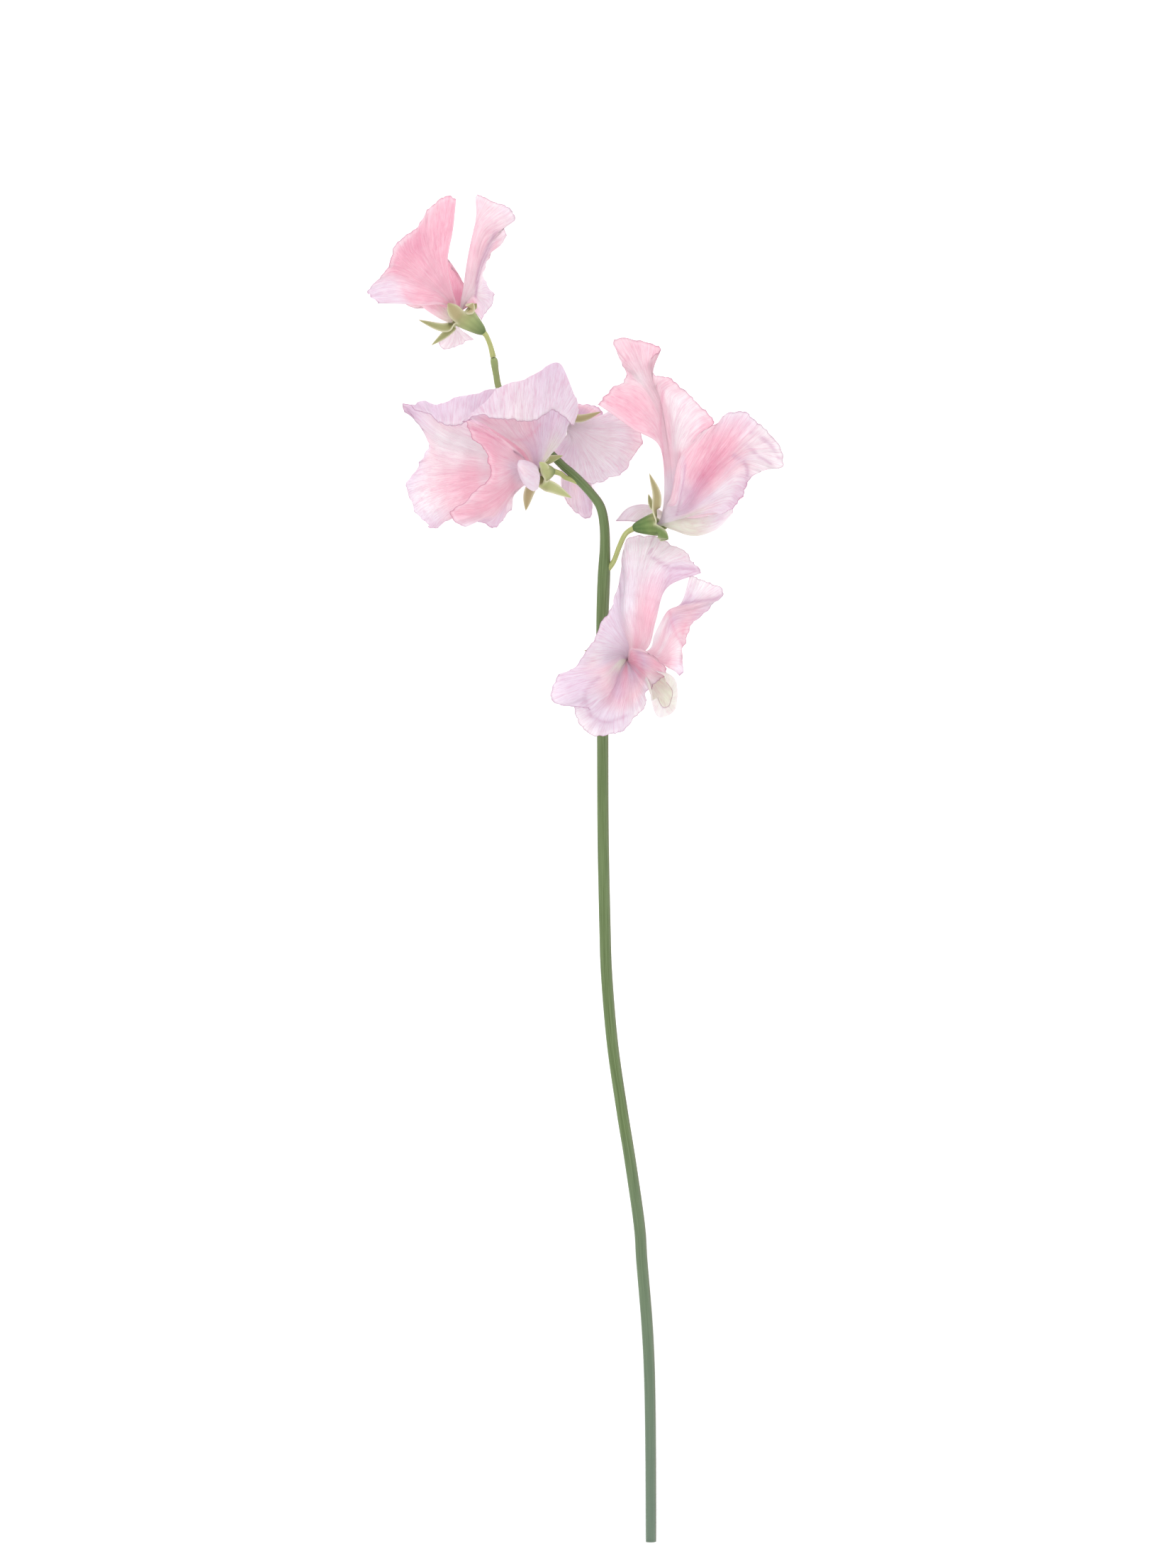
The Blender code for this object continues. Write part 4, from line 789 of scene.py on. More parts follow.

# ---------------------------------------------------------------------------------------------
# Left floret. It opens to the left, tilted up. The lilac, white and rose standard reaches down to
# the table, the lilac right wing rises and folds back over itself, and both wings share a short
# crease, painted dark as shade.
# ---------------------------------------------------------------------------------------------
# Painted shade: a dark line along the short crease that both wings share.
LEFT_CREASE_SHADE = ("k", 0.28, 0.8, (-25.7, 294), (-24, 293), (-22.3, 291.9))

petal("left", "standard", (-54.5, 40), (
    ("LLlLL", (-21.4, 295.6, 24.6), (-22.6, 301.5, 25.2), (-23.6, 306.6, 25.8), (-24.4, 311.2, 27),
     (-26.6, 305.6, 28)),
    ("PLlLL", (-22.2, 294.8, 24), (-25, 301, 24), (-27.8, 306.4, 24.4), (-29.4, 310.8, 26.2),
     (-31.4, 305, 28)),
    ("RRLLL", (-23, 294, 23.5), (-28, 300, 22.5), (-32, 305.5, 22.5), (-34, 310, 25), (-36, 303.5, 28)),
    ("RRLLl", (-24, 293.5, 23.3), (-31, 299.5, 21), (-37, 305, 21), (-40, 308.6, 24), (-41, 300.6, 28)),
    ("RPlLL", (-25, 293, 23), (-34, 298.5, 19), (-42, 303, 17), (-46, 307, 20), (-45.5, 302, 25)),
    ("PwpLL", (-25.5, 292.3, 23), (-36, 297, 18.5), (-45, 302, 15), (-51, 307.5, 18), (-49.5, 304.5, 22)),
    ("PwwLm", (-26, 291.5, 23), (-38, 295.5, 18), (-46, 299.5, 13), (-52.5, 304.5, 13), (-55.8, 306.8, 16)),
    ("PpwpL", (-26, 290.5, 23), (-38.5, 293.5, 18), (-45, 296, 12.5), (-48.3, 297.5, 9.5),
     (-49.5, 299.3, 9)),
    ("RPppL", (-26, 289.5, 23), (-39, 291, 18.5), (-45.5, 292.5, 13), (-48.5, 293.5, 8.5), (-50, 293.3, 6)),
    ("RRplL", (-26, 288.5, 23), (-39, 288.5, 19.5), (-47, 288.5, 13), (-51.5, 288, 6), (-54.2, 287.3, 1.5)),
    ("RRPwl", (-25.8, 287.5, 23), (-38.5, 286, 20), (-46, 284.5, 14), (-51, 283, 6), (-54, 281.5, 0.1)),
    ("RRPlL", (-25.5, 286.7, 23), (-37.5, 283.5, 20.5), (-44, 281, 15.5), (-48.5, 278.5, 7.5),
     (-50.5, 276.8, 2)),
    ("RRPlm", (-25, 286, 23), (-36, 281.5, 21), (-42, 279, 17), (-46, 276.8, 11), (-48.3, 274.2, 6)),
    ("RRPPL", (-24.5, 285.5, 23), (-34.5, 280.5, 21.5), (-39.5, 278, 18.5), (-42.5, 276.3, 14),
     (-44, 275.6, 10)),
), marks=(
    ("w", 2, 0.8, (-33.4, 290.6)),
    ("w", 2, 0.8, (-33.1, 286.4)),
    ("w", 1.8, 0.7, (-34.2, 293.8)),
    ("w", 4, 0.6, (-41, 296.8)),
    ("w", 3.5, 0.5, (-48.1, 280.3)),
    ("w", 2.5, 0.4, (-41.2, 291.7)),
))

petal("left", "wing_left", (64.3, 121), (
    ("PPPP", (-23.4, 293, 27.6), (-28, 296.8, 29), (-33.6, 300.2, 31), (-38.8, 301.8, 33)),
    ("PPRP", (-24, 292, 27.5), (-28, 295, 29.5), (-33, 298.6, 31.5), (-38, 300.6, 33.5)),
    ("PPRR", (-24.2, 291.2, 27.6), (-28.5, 293.5, 31), (-32.5, 296, 33), (-36, 296.8, 34.5)),
    ("PPRR", (-24.3, 290.4, 27.7), (-28.5, 291.3, 32), (-31.3, 292.5, 34.5), (-33, 293.3, 35.5)),
    ("PPRR", (-24.3, 289.5, 27.8), (-28.3, 289.3, 32.5), (-30.6, 289.3, 35), (-31.8, 289.5, 36)),
    ("PPRR", (-24.3, 288.6, 27.8), (-28.3, 286.7, 32.5), (-30.8, 286, 35), (-32.5, 286.3, 36)),
    ("PRRP", (-24.3, 287.7, 27.8), (-28.8, 284, 32.3), (-33, 281.5, 33.5), (-38, 281, 35.5)),
    ("PRRR", (-24.2, 286.9, 27.8), (-29, 281.5, 32), (-34.5, 278, 32.5), (-42.5, 277, 34)),
    ("PRPl", (-24, 286.2, 27.7), (-28.5, 280.5, 31.5), (-33, 276.8, 32), (-39, 274, 31)),
    ("PPPL", (-23.7, 285.7, 27.6), (-27.8, 280.5, 31.3), (-31, 276.8, 31.5), (-35, 275.2, 30)),
    ("PPLm", (-23.4, 285.3, 27.5), (-27, 281, 30.8), (-29, 277, 31), (-30.3, 273.6, 29.5)),
    ("Pppl", (-23.1, 285, 27.4), (-26, 281.8, 30), (-27.3, 279.5, 30), (-27.5, 277, 29)),
    ("pppp", (-22.8, 284.9, 27.2), (-25, 283.5, 29.3), (-25.6, 282.5, 29.5), (-25.7, 281.5, 29)),
), marks=(
    ("l", 1.6, 0.85, (-26, 290), (-24, 286.8)),
    # Painted shade: a thin deep rose line along a crease.
    ("D", 0.35, 0.6, (-39, 301.4), (-37.2, 300), (-34.3, 298.6), (-29.2, 297)),
    LEFT_CREASE_SHADE,
    ("D", 1.2, 0.3, (-26, 284)),
    ("p", 2.5, 0.4, (-29.1, 286.6)),
    # Painted shade: a deep rose spot in the fold at the claws.
    ("D", 0.9, 0.6, (-24, 293)),
))

petal("left", "wing_right", (-108, -69), (
    ("glLll", (-16.2, 292.4, 31.5), (-12.3, 297, 30), (-11, 301, 30.5), (-8.5, 305, 32), (-10, 300.2, 36)),
    ("glLll", (-16.9, 293, 30.9), (-13.8, 299.5, 30), (-12, 306, 30.5), (-9.8, 310, 33),
     (-13.5, 304, 37.5)),
    ("lLLLl", (-17.4, 293.4, 30.2), (-16, 301, 29.6), (-15, 309, 30.5), (-13.5, 317.3, 33),
     (-15.5, 304.4, 38.5)),
    ("LLPLl", (-18.3, 293.7, 29.8), (-18.5, 301, 29.4), (-18.5, 309, 30.5), (-18, 315.2, 33.5),
     (-19, 302.1, 39)),
    ("mPPlw", (-19.6, 293.8, 29.6), (-22, 300.5, 29.3), (-23, 307.5, 30.5), (-24, 312.4, 34),
     (-24, 301.6, 39.5)),
    ("mpPll", (-20.8, 293.8, 29.4), (-25, 299.8, 29.3), (-28, 305.5, 30.5), (-30, 310.3, 34),
     (-29, 302.2, 39.5)),
    ("PpPLl", (-21.9, 293.8, 29.2), (-27.5, 299, 29.5), (-32, 303, 31), (-35, 305, 34), (-34, 303, 38.5)),
    ("PpPLm", (-22.8, 293.8, 29), (-28.5, 298, 30), (-33.5, 301, 32), (-38, 302.8, 34), (-39.3, 302, 35.5)),
), marks=(
    # Painted shade: a thin deep rose line along a crease.
    ("D", 0.35, 0.5, (-29.2, 297), (-23.4, 297.2), (-20.5, 298.8), (-18.5, 301.2)),
    ("p", 2.0, 0.6, (-26.6, 300.5)),
    ("l", 3.0, 0.5, (-17.7, 308.1)),
    LEFT_CREASE_SHADE,
))

petal("left", "keel", (-152, -208), (
    ("llll", (-19.8, 290, 28.8), (-21.8, 291, 30.5), (-23.5, 291.5, 32), (-24.5, 291.3, 33)),
    ("llll", (-19.3, 289.5, 30), (-21.3, 290.7, 32.5), (-23.2, 291, 34), (-24.6, 291, 34)),
    ("llpl", (-18.8, 286.8, 31), (-20.8, 287.3, 34), (-23, 288.8, 35.3), (-24.8, 290.3, 34.3)),
    ("llll", (-19.2, 284.2, 29.8), (-21.3, 284.6, 32.3), (-23.3, 286.5, 34), (-24.8, 289.6, 34)),
    ("llll", (-19.9, 283.6, 28.5), (-22, 284.2, 30.3), (-23.6, 286.2, 32), (-24.7, 289.3, 33)),
))

# ---------------------------------------------------------------------------------------------
# Right floret. It opens to the right. The pink standard spreads from a narrow waist, the left wing
# is wide and pales to white at its end, the right wing leans on the table, and the keel is
# greenish white.
# ---------------------------------------------------------------------------------------------
petal("right", "standard", (38, -38), (
    ("lPRP", (14.6, 284, 26), (13.3, 295.2, 31), (6, 299.8, 34.5), (-3, 306.2, 35.5)),
    ("lPRR", (14.9, 284, 26), (13.2, 297, 31.5), (6.5, 303.5, 36), (-1.5, 308.3, 35)),
    ("lPRP", (15.2, 284, 26), (13.3, 299, 32), (8, 307, 36.5), (1, 310.6, 34)),
    ("lPPp", (15.5, 284, 26), (13.5, 301, 32), (9, 310, 36), (3.5, 312.3, 33)),
    ("lPpP", (15.6, 284, 26), (13.5, 302, 31.8), (8.6, 311.6, 34.5), (4.1, 315.8, 32)),
    ("lPpP", (15.8, 284, 26), (13.6, 303, 31.5), (8.5, 312.5, 33), (1, 323.1, 31)),
    ("lPpP", (16.1, 284, 25.8), (13.7, 304, 31), (9.5, 313.5, 31), (6.3, 323.9, 28.5)),
    ("lPpR", (16.4, 284, 25.6), (13.9, 305, 30.5), (11.2, 314, 30.5), (13.5, 321.5, 30)),
    ("lPpp", (16.5, 284, 25.5), (14, 304.5, 30.3), (11.6, 313, 30.4), (10.6, 318, 30)),
    ("lPpp", (16.6, 284, 25.4), (14.1, 304, 30.1), (12, 311, 30.5), (12, 314.4, 30.4)),
    ("lPpP", (16.7, 284, 25.4), (14.4, 303.5, 29.8), (12.8, 310.5, 30.6), (15.8, 313.6, 31)),
    ("lpwP", (17, 284, 25.2), (15.8, 302, 27.5), (15, 309, 28), (18.5, 311.6, 29.5)),
    ("lwwp", (17.4, 284, 25), (17.5, 299, 26.5), (20, 305.5, 27), (22.5, 307.8, 28)),
    ("lpwP", (17.8, 284, 24.8), (18.5, 295.5, 26), (23, 302.5, 28), (26.3, 304, 29.5)),
    ("lPPR", (18.2, 284, 24.6), (18.8, 291.5, 25), (22.5, 297.5, 27.5), (27.6, 301.2, 30.5)),
    ("lPPP", (18.5, 284, 24.4), (18.8, 289, 24.5), (20.5, 293.5, 26), (25, 299, 29)),
), marks=(
    # Painted shade: a thin deep rose line along the crease of the midrib.
    ("D", 0.35, 0.5, (14.2, 310), (13.6, 305), (13.5, 299.2), (14.2, 292.9), (14.7, 287.8)),
    ("P", 1.5, 0.85, (10.5, 316), (13, 309.4), (14.6, 305), (15.5, 297.4), (15.8, 290)),
    ("w", 2.4, 0.9, (18, 307), (19, 301), (20, 296)),
    # Painted shade: a thin deep rose line along a crease.
    ("D", 0.35, 0.4, (6.5, 323.6), (4.4, 317.6), (3.8, 313.8)),
    ("w", 1.8, 0.6, (8.2, 313.2)),
    ("P", 2.5, 0.5, (17.4, 291.8)),
    ("w", 4, 0.8, (19.5, 303.5)),
))

petal("right", "wing_left", (59.5, 121), (
    ("lPPPp", (15.2, 279.6, 25.8), (16.6, 282.6, 26.2), (17.9, 289.8, 27), (19.6, 293.6, 28.2),
     (24.6, 299.3, 31.4)),
    ("lPRPp", (15.2, 279.1, 26.2), (17.9, 280.6, 26.9), (20.2, 289.4, 28.2), (22.6, 294.4, 29.8),
     (26.8, 300.3, 32.2)),
    ("llPRP", (15.3, 278.8, 26.6), (18.5, 280, 27.5), (21.5, 289, 29), (24.6, 295, 31), (28.2, 301, 33)),
    ("llRRl", (15.4, 278.5, 27.1), (19, 279.8, 28.5), (23.5, 289, 30), (28, 297, 32), (31.5, 304, 34.5)),
    ("lmDRl", (15.6, 278.2, 27.6), (19.5, 279.5, 29), (25, 288.8, 30.5), (31, 297, 32), (36, 304.2, 34.5)),
    ("lmDRl", (15.7, 277.9, 28), (20, 279.2, 29.3), (26.5, 288.3, 30), (33, 296, 31), (38.2, 302.5, 33)),
    ("lmDPw", (15.8, 277.6, 28.3), (20.3, 278.8, 29.5), (27, 287, 30), (34, 293.5, 30.5), (41.5, 300, 30)),
    ("lmRPw", (15.9, 277.3, 28.5), (20.6, 278.5, 30), (27.5, 286, 31), (36, 293.3, 32), (45.5, 295, 29)),
    ("lmPlw", (16, 277, 28.7), (20.8, 278.2, 30.5), (28, 285, 32.5), (37, 291.7, 33.5), (46.3, 289.8, 31)),
    ("lmPPp", (16, 276.6, 28.8), (21, 278, 31), (28, 283.8, 33.8), (35, 290, 35), (41.5, 288.8, 33)),
    ("lmlwm", (16, 276.2, 28.8), (21, 277.7, 31), (28, 282.5, 34.5), (33.5, 286.5, 36), (36.9, 286, 34.5)),
    ("lpllm", (16, 275.8, 28.7), (21, 277.3, 31), (27.5, 280.8, 34.3), (32.5, 283, 35.5),
     (35.6, 281.8, 33.5)),
    ("lgplm", (15.9, 275.4, 28.6), (20.8, 276.8, 30.5), (26.5, 278.8, 33.3), (30.5, 280, 34),
     (32.8, 279, 31.5)),
    ("lglll", (15.8, 275, 28.4), (20.5, 276.3, 29.8), (25, 277.2, 31.5), (28, 277.5, 31.5),
     (29.5, 277, 30.5)),
), marks=(
    ("l", 0.8, 0.7, (19.6, 292.3), (19.3, 285.3), (17.7, 277.7)),
    # Painted shade: each thin mauve line in these marks lies along a crease.
    ("M", 0.3, 0.6, (20.3, 290.4), (19.6, 284.7), (18, 277)),
    ("w", 6.0, 0.8, (41.8, 294.2)),
    ("w", 2.5, 0.9, (40, 288.6)),
    ("M", 0.35, 0.5, (35.5, 296.1), (39.3, 292.9), (43, 290.4)),
    ("M", 0.35, 0.5, (38, 299.2), (42.4, 296.1), (45.6, 291.7)),
    ("M", 0.4, 0.6, (32.9, 292.9), (35.5, 291.3), (36.7, 287.9), (36, 284.6)),
    ("D", 2, 0.5, (25.8, 289.5)),
    ("D", 2, 0.5, (22.3, 287.8)),
    ("m", 2.2, 0.6, (20.6, 282.6)),
    ("w", 2.4, 0.5, (30.4, 282.8)),
    ("R", 2.5, 0.4, (30.4, 292.4)),
))

petal("right", "wing_right", (-69, -140), (
    ("PPPP", (18, 279, 21.5), (22, 287, 17), (26, 294, 11), (30, 299, 6)),
    ("PPPP", (19.5, 279, 20.5), (25, 286.5, 15), (30.5, 293, 9), (35, 298, 3.5)),
    ("PPPP", (20.5, 278.5, 20), (27, 285, 14), (33.5, 289.5, 6.5), (39, 293, 0.15)),
    ("PPPP", (20.8, 278, 19.4), (27.5, 282.5, 14), (33, 284.5, 6.5), (37, 286, 0.5)),
    ("PPPP", (20.8, 277.5, 19.3), (26.5, 279.5, 14.2), (31, 280.5, 8.5), (34, 281, 4)),
    ("pppp", (19.5, 276.5, 18.8), (22.5, 276.5, 16), (24.5, 276.5, 14.5), (26, 276.8, 13)),
    ("gggg", (15.5, 276, 19.8), (16, 276, 18.5), (16.5, 276, 17.5), (17, 276, 17)),
    ("gllL", (14.6, 277.6, 19.6), (10, 280, 18.8), (5, 279.2, 17.7), (1.5, 275.5, 17)),
))

petal("right", "keel", (152, 208), (
    ("gglw", (17, 276.5, 26.5), (23, 276, 28), (29, 277.5, 27.5), (33, 279.5, 25)),
    ("gglw", (17, 275, 27), (23, 273.8, 28.3), (29, 275.3, 27.5), (33, 278.5, 25)),
    ("ggww", (16.5, 273.3, 24.6), (22.5, 271.5, 24.8), (28.5, 273.2, 24.8), (33, 277.5, 24.6)),
    ("gglw", (17, 275, 22.2), (23, 273.8, 21.2), (29, 275.3, 21.8), (33, 278.5, 24)),
    ("gglw", (17, 276.5, 22.6), (23, 276, 21.4), (29, 277.5, 22), (33, 279.5, 24)),
))

# ---------------------------------------------------------------------------------------------
# Lowest floret. It faces up, above the stem. The lilac and white standard spreads from its top to
# its left, the left wing makes the lower lip and a pink hood over the throat, the right wing
# stands beside them, and the keel is a greenish cream pouch.
# ---------------------------------------------------------------------------------------------
# Painted shade shared by the standard and the left wing: a thin mauve line along the crease of the lip, and
# a mauve patch of shade.
LIP_CREASE_SHADE = ("M", 0.45, 0.45, (-2.8, 233.4), (-6.3, 230.2), (-6.5, 227), (-4.8, 223.2), (-0.6, 221.5),
              (4.4, 223.2))
LIP_SHADE = ("m", 1.7, 0.9, (2.1, 233.6), (2.1, 228.8))

petal("lower", "standard", (-45, 51.4), (
    ("PPmm", (10.2, 241.3, 36), (12.3, 248.5, 37), (15.2, 257.3, 35), (24.3, 261.3, 30)),
    ("PRLl", (9.5, 242, 36), (11.2, 250, 37), (16, 262.4, 33.5), (23, 263.6, 27.5)),
    ("PRlw", (8.7, 242.5, 35.8), (9.5, 252, 35.5), (12.5, 262.5, 30), (20, 267.2, 23)),
    ("RPll", (7.8, 243, 35.6), (7.8, 253, 34), (9.5, 263, 27), (13.8, 270.7, 19.5)),
    ("Rlll", (6.8, 243, 35.4), (6, 253, 33), (6.8, 263, 26), (7, 271.8, 18.5)),
    ("Plll", (6, 242.5, 35.2), (4, 251.5, 32.5), (4.6, 260.5, 26.5), (3.8, 268.3, 20.3)),
    ("PLLL", (5.2, 241.8, 35), (3, 249.5, 33.5), (2.8, 254.5, 31), (2.6, 259, 28)),
    ("mLLL", (5, 241.8, 35), (2.3, 247.3, 34), (1.2, 250.3, 32.5), (0.5, 252.6, 31)),
    ("mLLL", (4.3, 241, 34.8), (1, 244.5, 34.5), (-0.8, 246.2, 33.5), (-2.4, 247.4, 32)),
    ("mLlL", (3.8, 240.2, 34.5), (-0.5, 240.8, 34.5), (-3.3, 241, 34), (-5.8, 241, 33)),
    ("mLpL", (3.3, 239.3, 34.3), (-1, 237.6, 34), (-5, 236.2, 33.8), (-9.8, 235.9, 32.5)),
    ("mPlL", (3, 238.5, 34.6), (-1.5, 235.5, 35.5), (-8, 234, 36.5), (-14.4, 233, 35)),
    ("gpll", (2.8, 237.8, 35), (-1.5, 233.3, 37), (-8, 231, 38.5), (-15.6, 228, 37.5)),
    ("gPlL", (2.9, 237.2, 35.2), (-1, 231.3, 37.7), (-6.5, 228.5, 39), (-13, 226, 38.5)),
    ("gPlL", (3.1, 236.8, 35.2), (0, 230.5, 38), (-3.5, 227.8, 39), (-6.8, 225.4, 38.8)),
    ("gPlL", (2.8, 235.6, 34.7), (0.4, 229.8, 37.2), (-2.8, 227.2, 38), (-5.4, 224.8, 37.6)),
), marks=(
    # Painted shade: a thin mauve line along a crease.
    ("M", 0.45, 0.55, (11.1, 267.6), (10.8, 266.3), (12.7, 265), (15.5, 262.8), (19, 262.6), (22.8, 262.2)),
    LIP_CREASE_SHADE,
    LIP_SHADE,
    ("R", 2.5, 0.5, (9.5, 247.6)),
    ("P", 2, 0.4, (12.5, 254.7)),
    ("D", 1.5, 0.55, (2.7, 232.5)),
    ("w", 6, 0.8, (11, 267)),
    ("L", 5, 0.9, (-8.9, 230.9)),
    ("m", 3.5, 0.35, (-8.9, 230.9)),
))

petal("lower", "wing_left", (69, 165.6), (
    ("mPll", (2.5, 235.3, 34), (-0.5, 230.8, 34.5), (-4, 227.5, 35.5), (-9.5, 225.5, 34.5)),
    ("mPlw", (3, 234.8, 34.4), (0.3, 229, 35.5), (-3.5, 224.5, 36.5), (-8.3, 221.2, 34.5)),
    ("DPlw", (3.6, 234.3, 34.8), (1.3, 227.8, 36.3), (-1.5, 222.8, 37), (-3.6, 217.7, 34.5)),
    ("DPll", (4.4, 234, 35), (2.8, 227.3, 36.8), (1.3, 222.5, 37), (1, 218.5, 35)),
    ("mPlL", (5.2, 234, 35), (4.5, 227.8, 36.8), (4, 223.5, 37), (4.2, 219.7, 36)),
    ("mPlw", (5.8, 234.2, 34.8), (6.2, 228.5, 36), (6.8, 225.5, 36), (7.3, 223.4, 35.5)),
    ("mPll", (6.3, 234.4, 34.4), (7.6, 230, 35.2), (8.6, 228, 35), (9.4, 226, 34.5)),
    ("mPll", (6.7, 234.8, 34), (8.4, 232.2, 34.6), (9.4, 231, 34.3), (10, 230, 34)),
    ("mPpl", (7, 235.6, 34.8), (8.7, 233.6, 35.8), (10, 232.2, 36.2), (11.2, 230.4, 36.2)),
    ("DDpl", (7, 236.6, 35.6), (8.9, 235, 37), (10.6, 233.6, 37.8), (12.2, 232, 38)),
    ("DmPP", (6.9, 237.6, 36.2), (9.2, 236.6, 37.8), (11.6, 235.4, 38.6), (14.4, 233.6, 38.8)),
    ("DmRP", (6.6, 238.8, 36.5), (9, 238.4, 38.2), (12, 237.6, 39.2), (15, 235.6, 39.6)),
    ("RmPP", (6, 240.2, 36.4), (8, 240.2, 38), (10.6, 239.6, 39.2), (13.2, 238, 39.8)),
    ("PPPP", (5.4, 241, 36.2), (6.4, 241, 37.6), (7.8, 240.6, 38.8), (9.4, 240, 39.4)),
), marks=(
    LIP_CREASE_SHADE,
    LIP_SHADE,
    # Painted shade: a thin deep rose line along a crease.
    ("D", 0.4, 0.6, (5.4, 240.4), (6, 236.5), (8.2, 233.7)),
    ("D", 2, 0.7, (2.7, 231.5)),
    ("L", 4, 0.9, (-1.3, 222)),
))

petal("lower", "wing_right", (-69, -121), (
    ("wwpLw", (10.6, 241, 36), (12, 245, 38.5), (15.2, 250.6, 41.5), (19, 253, 41), (21.2, 260.3, 37.5)),
    ("PwPLw", (11.3, 240.8, 36.5), (12.9, 244.8, 39), (15.6, 251, 42), (21.5, 253.4, 41.2), (26, 259, 37)),
    ("PPPPl", (12, 240.5, 37), (13.8, 244.3, 39.5), (16, 250.5, 42.5), (23, 252.8, 41.5),
     (30.3, 255.6, 38.5)),
    ("PPmPm", (12.6, 240, 37.3), (14.7, 243.5, 39.8), (16.7, 248.5, 42.5), (21, 249.8, 41.5),
     (25, 250.6, 39.5)),
    ("PPPRP", (13.1, 239.4, 37.5), (15.5, 242.3, 40), (17.7, 245.7, 42.3), (19.7, 246.4, 41.6),
     (21.5, 246.6, 40.3)),
    # Painted highlight: the white at the third point of this vein and the next lies along the top of the
    # fold.
    ("PPwPP", (13.5, 238.6, 37.5), (16, 240.8, 40), (18.5, 242.8, 42), (19.2, 242.6, 41.4),
     (19.6, 242, 40.8)),
    ("PPwpp", (13.8, 237.9, 37.4), (16.3, 239, 39.8), (18.7, 239.6, 41.5), (19.3, 239, 41.3),
     (19.5, 238.3, 40.8)),
    ("PPlll", (14, 237.2, 37.2), (16.3, 237, 39.5), (18.5, 236.8, 41), (19.2, 236.3, 41),
     (19.4, 235.6, 40.6)),
    ("PPlmm", (14, 236.6, 37), (15.8, 235.8, 38.8), (17.3, 235, 40), (18, 234.4, 40.2), (18.6, 233.8, 40)),
), marks=(
    # Painted shade: a thin deep rose line along the fold.
    ("D", 0.4, 0.5, (15.7, 252), (16.5, 248), (18, 244.2), (19.3, 241.6), (19, 237.2)),
    ("w", 0.5, 0.7, (10.8, 241.6), (15.5, 249.2)),
    ("w", 0.5, 0.6, (12.7, 239), (16.2, 245.4)),
    # Painted shade: a thin mauve line along a crease.
    ("M", 0.4, 0.6, (16.2, 252.4), (21.5, 253.3), (27.9, 254.3), (30, 255.5)),
    ("w", 3.5, 0.7, (25.3, 256.8)),
))

petal("lower", "keel", (-152, -208), (
    ("clgc", (9.3, 237, 35), (12.5, 235, 39), (14.5, 233.8, 42.5), (15, 232, 44.5)),
    ("cgwg", (10.5, 236, 34.3), (15.5, 234, 38), (17.6, 232, 42), (16.5, 229.5, 45)),
    ("cgwg", (10.5, 233.8, 33.5), (16, 228, 36), (17.4, 225, 40.5), (15.8, 226, 44.5)),
    ("lgww", (9, 233.5, 35), (11.8, 227, 37.5), (13, 222.8, 41.5), (14, 225.5, 44.8)),
    ("lgwg", (8.7, 234.8, 36), (10.8, 231, 39.5), (11, 227.5, 43), (12.8, 228, 45.2)),
))

# ---------------------------------------------------------------------------------------------
# Hindmost floret. It hangs low under the left one and opens to the right. A fan-shaped standard
# of the palest lilac and a lilac and pink wing show. A short mauve wing and a cream keel are
# mostly hidden.
# ---------------------------------------------------------------------------------------------
petal("back", "standard", (-38, 57), (
    ("lLll", (-8.3, 302.3, 15.5), (-5, 303.2, 15.5), (-2, 304.4, 14.5), (0.5, 305.8, 13)),
    ("lllp", (-8, 301.6, 15.8), (-4, 301.6, 16), (0.5, 302.4, 15), (4.8, 303.3, 12.5)),
    ("lllP", (-7.8, 300.8, 15.8), (-3, 299.5, 16.2), (3, 299.5, 14.5), (8.7, 298.8, 11)),
    ("lllp", (-7.8, 300, 15.6), (-3, 297.3, 16), (2.5, 296, 13.8), (7, 294, 9.5)),
    ("llll", (-8, 299.2, 15.3), (-3.5, 295.2, 15.3), (0.5, 292.8, 12.5), (4, 289.8, 7.5)),
    ("llll", (-8.4, 298.5, 15), (-5, 294.3, 14.5), (-2.5, 291, 11.5), (0.5, 287.5, 6)),
    ("llll", (-9, 298, 14.6), (-7, 294, 13.8), (-5.5, 290.5, 11), (-4, 286.5, 5.5)),
    ("lLll", (-9.6, 297.8, 14.2), (-9, 294, 13), (-8.8, 291, 10.5), (-9, 287.4, 6)),
    ("lLLL", (-10.2, 297.8, 13.6), (-11, 295, 12.2), (-12, 292.5, 10), (-13, 290, 7)),
    ("lLLl", (-10.9, 298.4, 13.4), (-12.6, 296.6, 12), (-14.4, 294.8, 10.4), (-16.4, 293.4, 8.6)),
    ("lLLl", (-11.4, 299.2, 13.2), (-13.6, 298.2, 12), (-15.8, 297.2, 10.6), (-18.4, 296.6, 9.2)),
), marks=(
    ("w", 6.0, 0.7, (-1.3, 296.7)),
))

petal("back", "wing_left", (69, 121), (
    ("lLpl", (-11, 298, 9.8), (-12, 293.5, 7), (-12.8, 289, 5), (-13.2, 286, 3.5)),
    ("lpLp", (-10.5, 297.8, 9.4), (-11, 293, 6.5), (-11.5, 287, 4), (-11.3, 281, 2)),
    ("lLpl", (-10, 297.7, 9), (-9.8, 292.5, 6), (-9.5, 285, 3.5), (-8.5, 278, 1)),
    ("lpLL", (-9.5, 297.8, 8.7), (-8.3, 292.5, 6), (-6.8, 285, 3.5), (-5.2, 277.3, 1)),
    ("lLpm", (-9, 298, 8.5), (-7, 293.5, 6), (-5.2, 288, 4), (-4.3, 283, 2)),
))

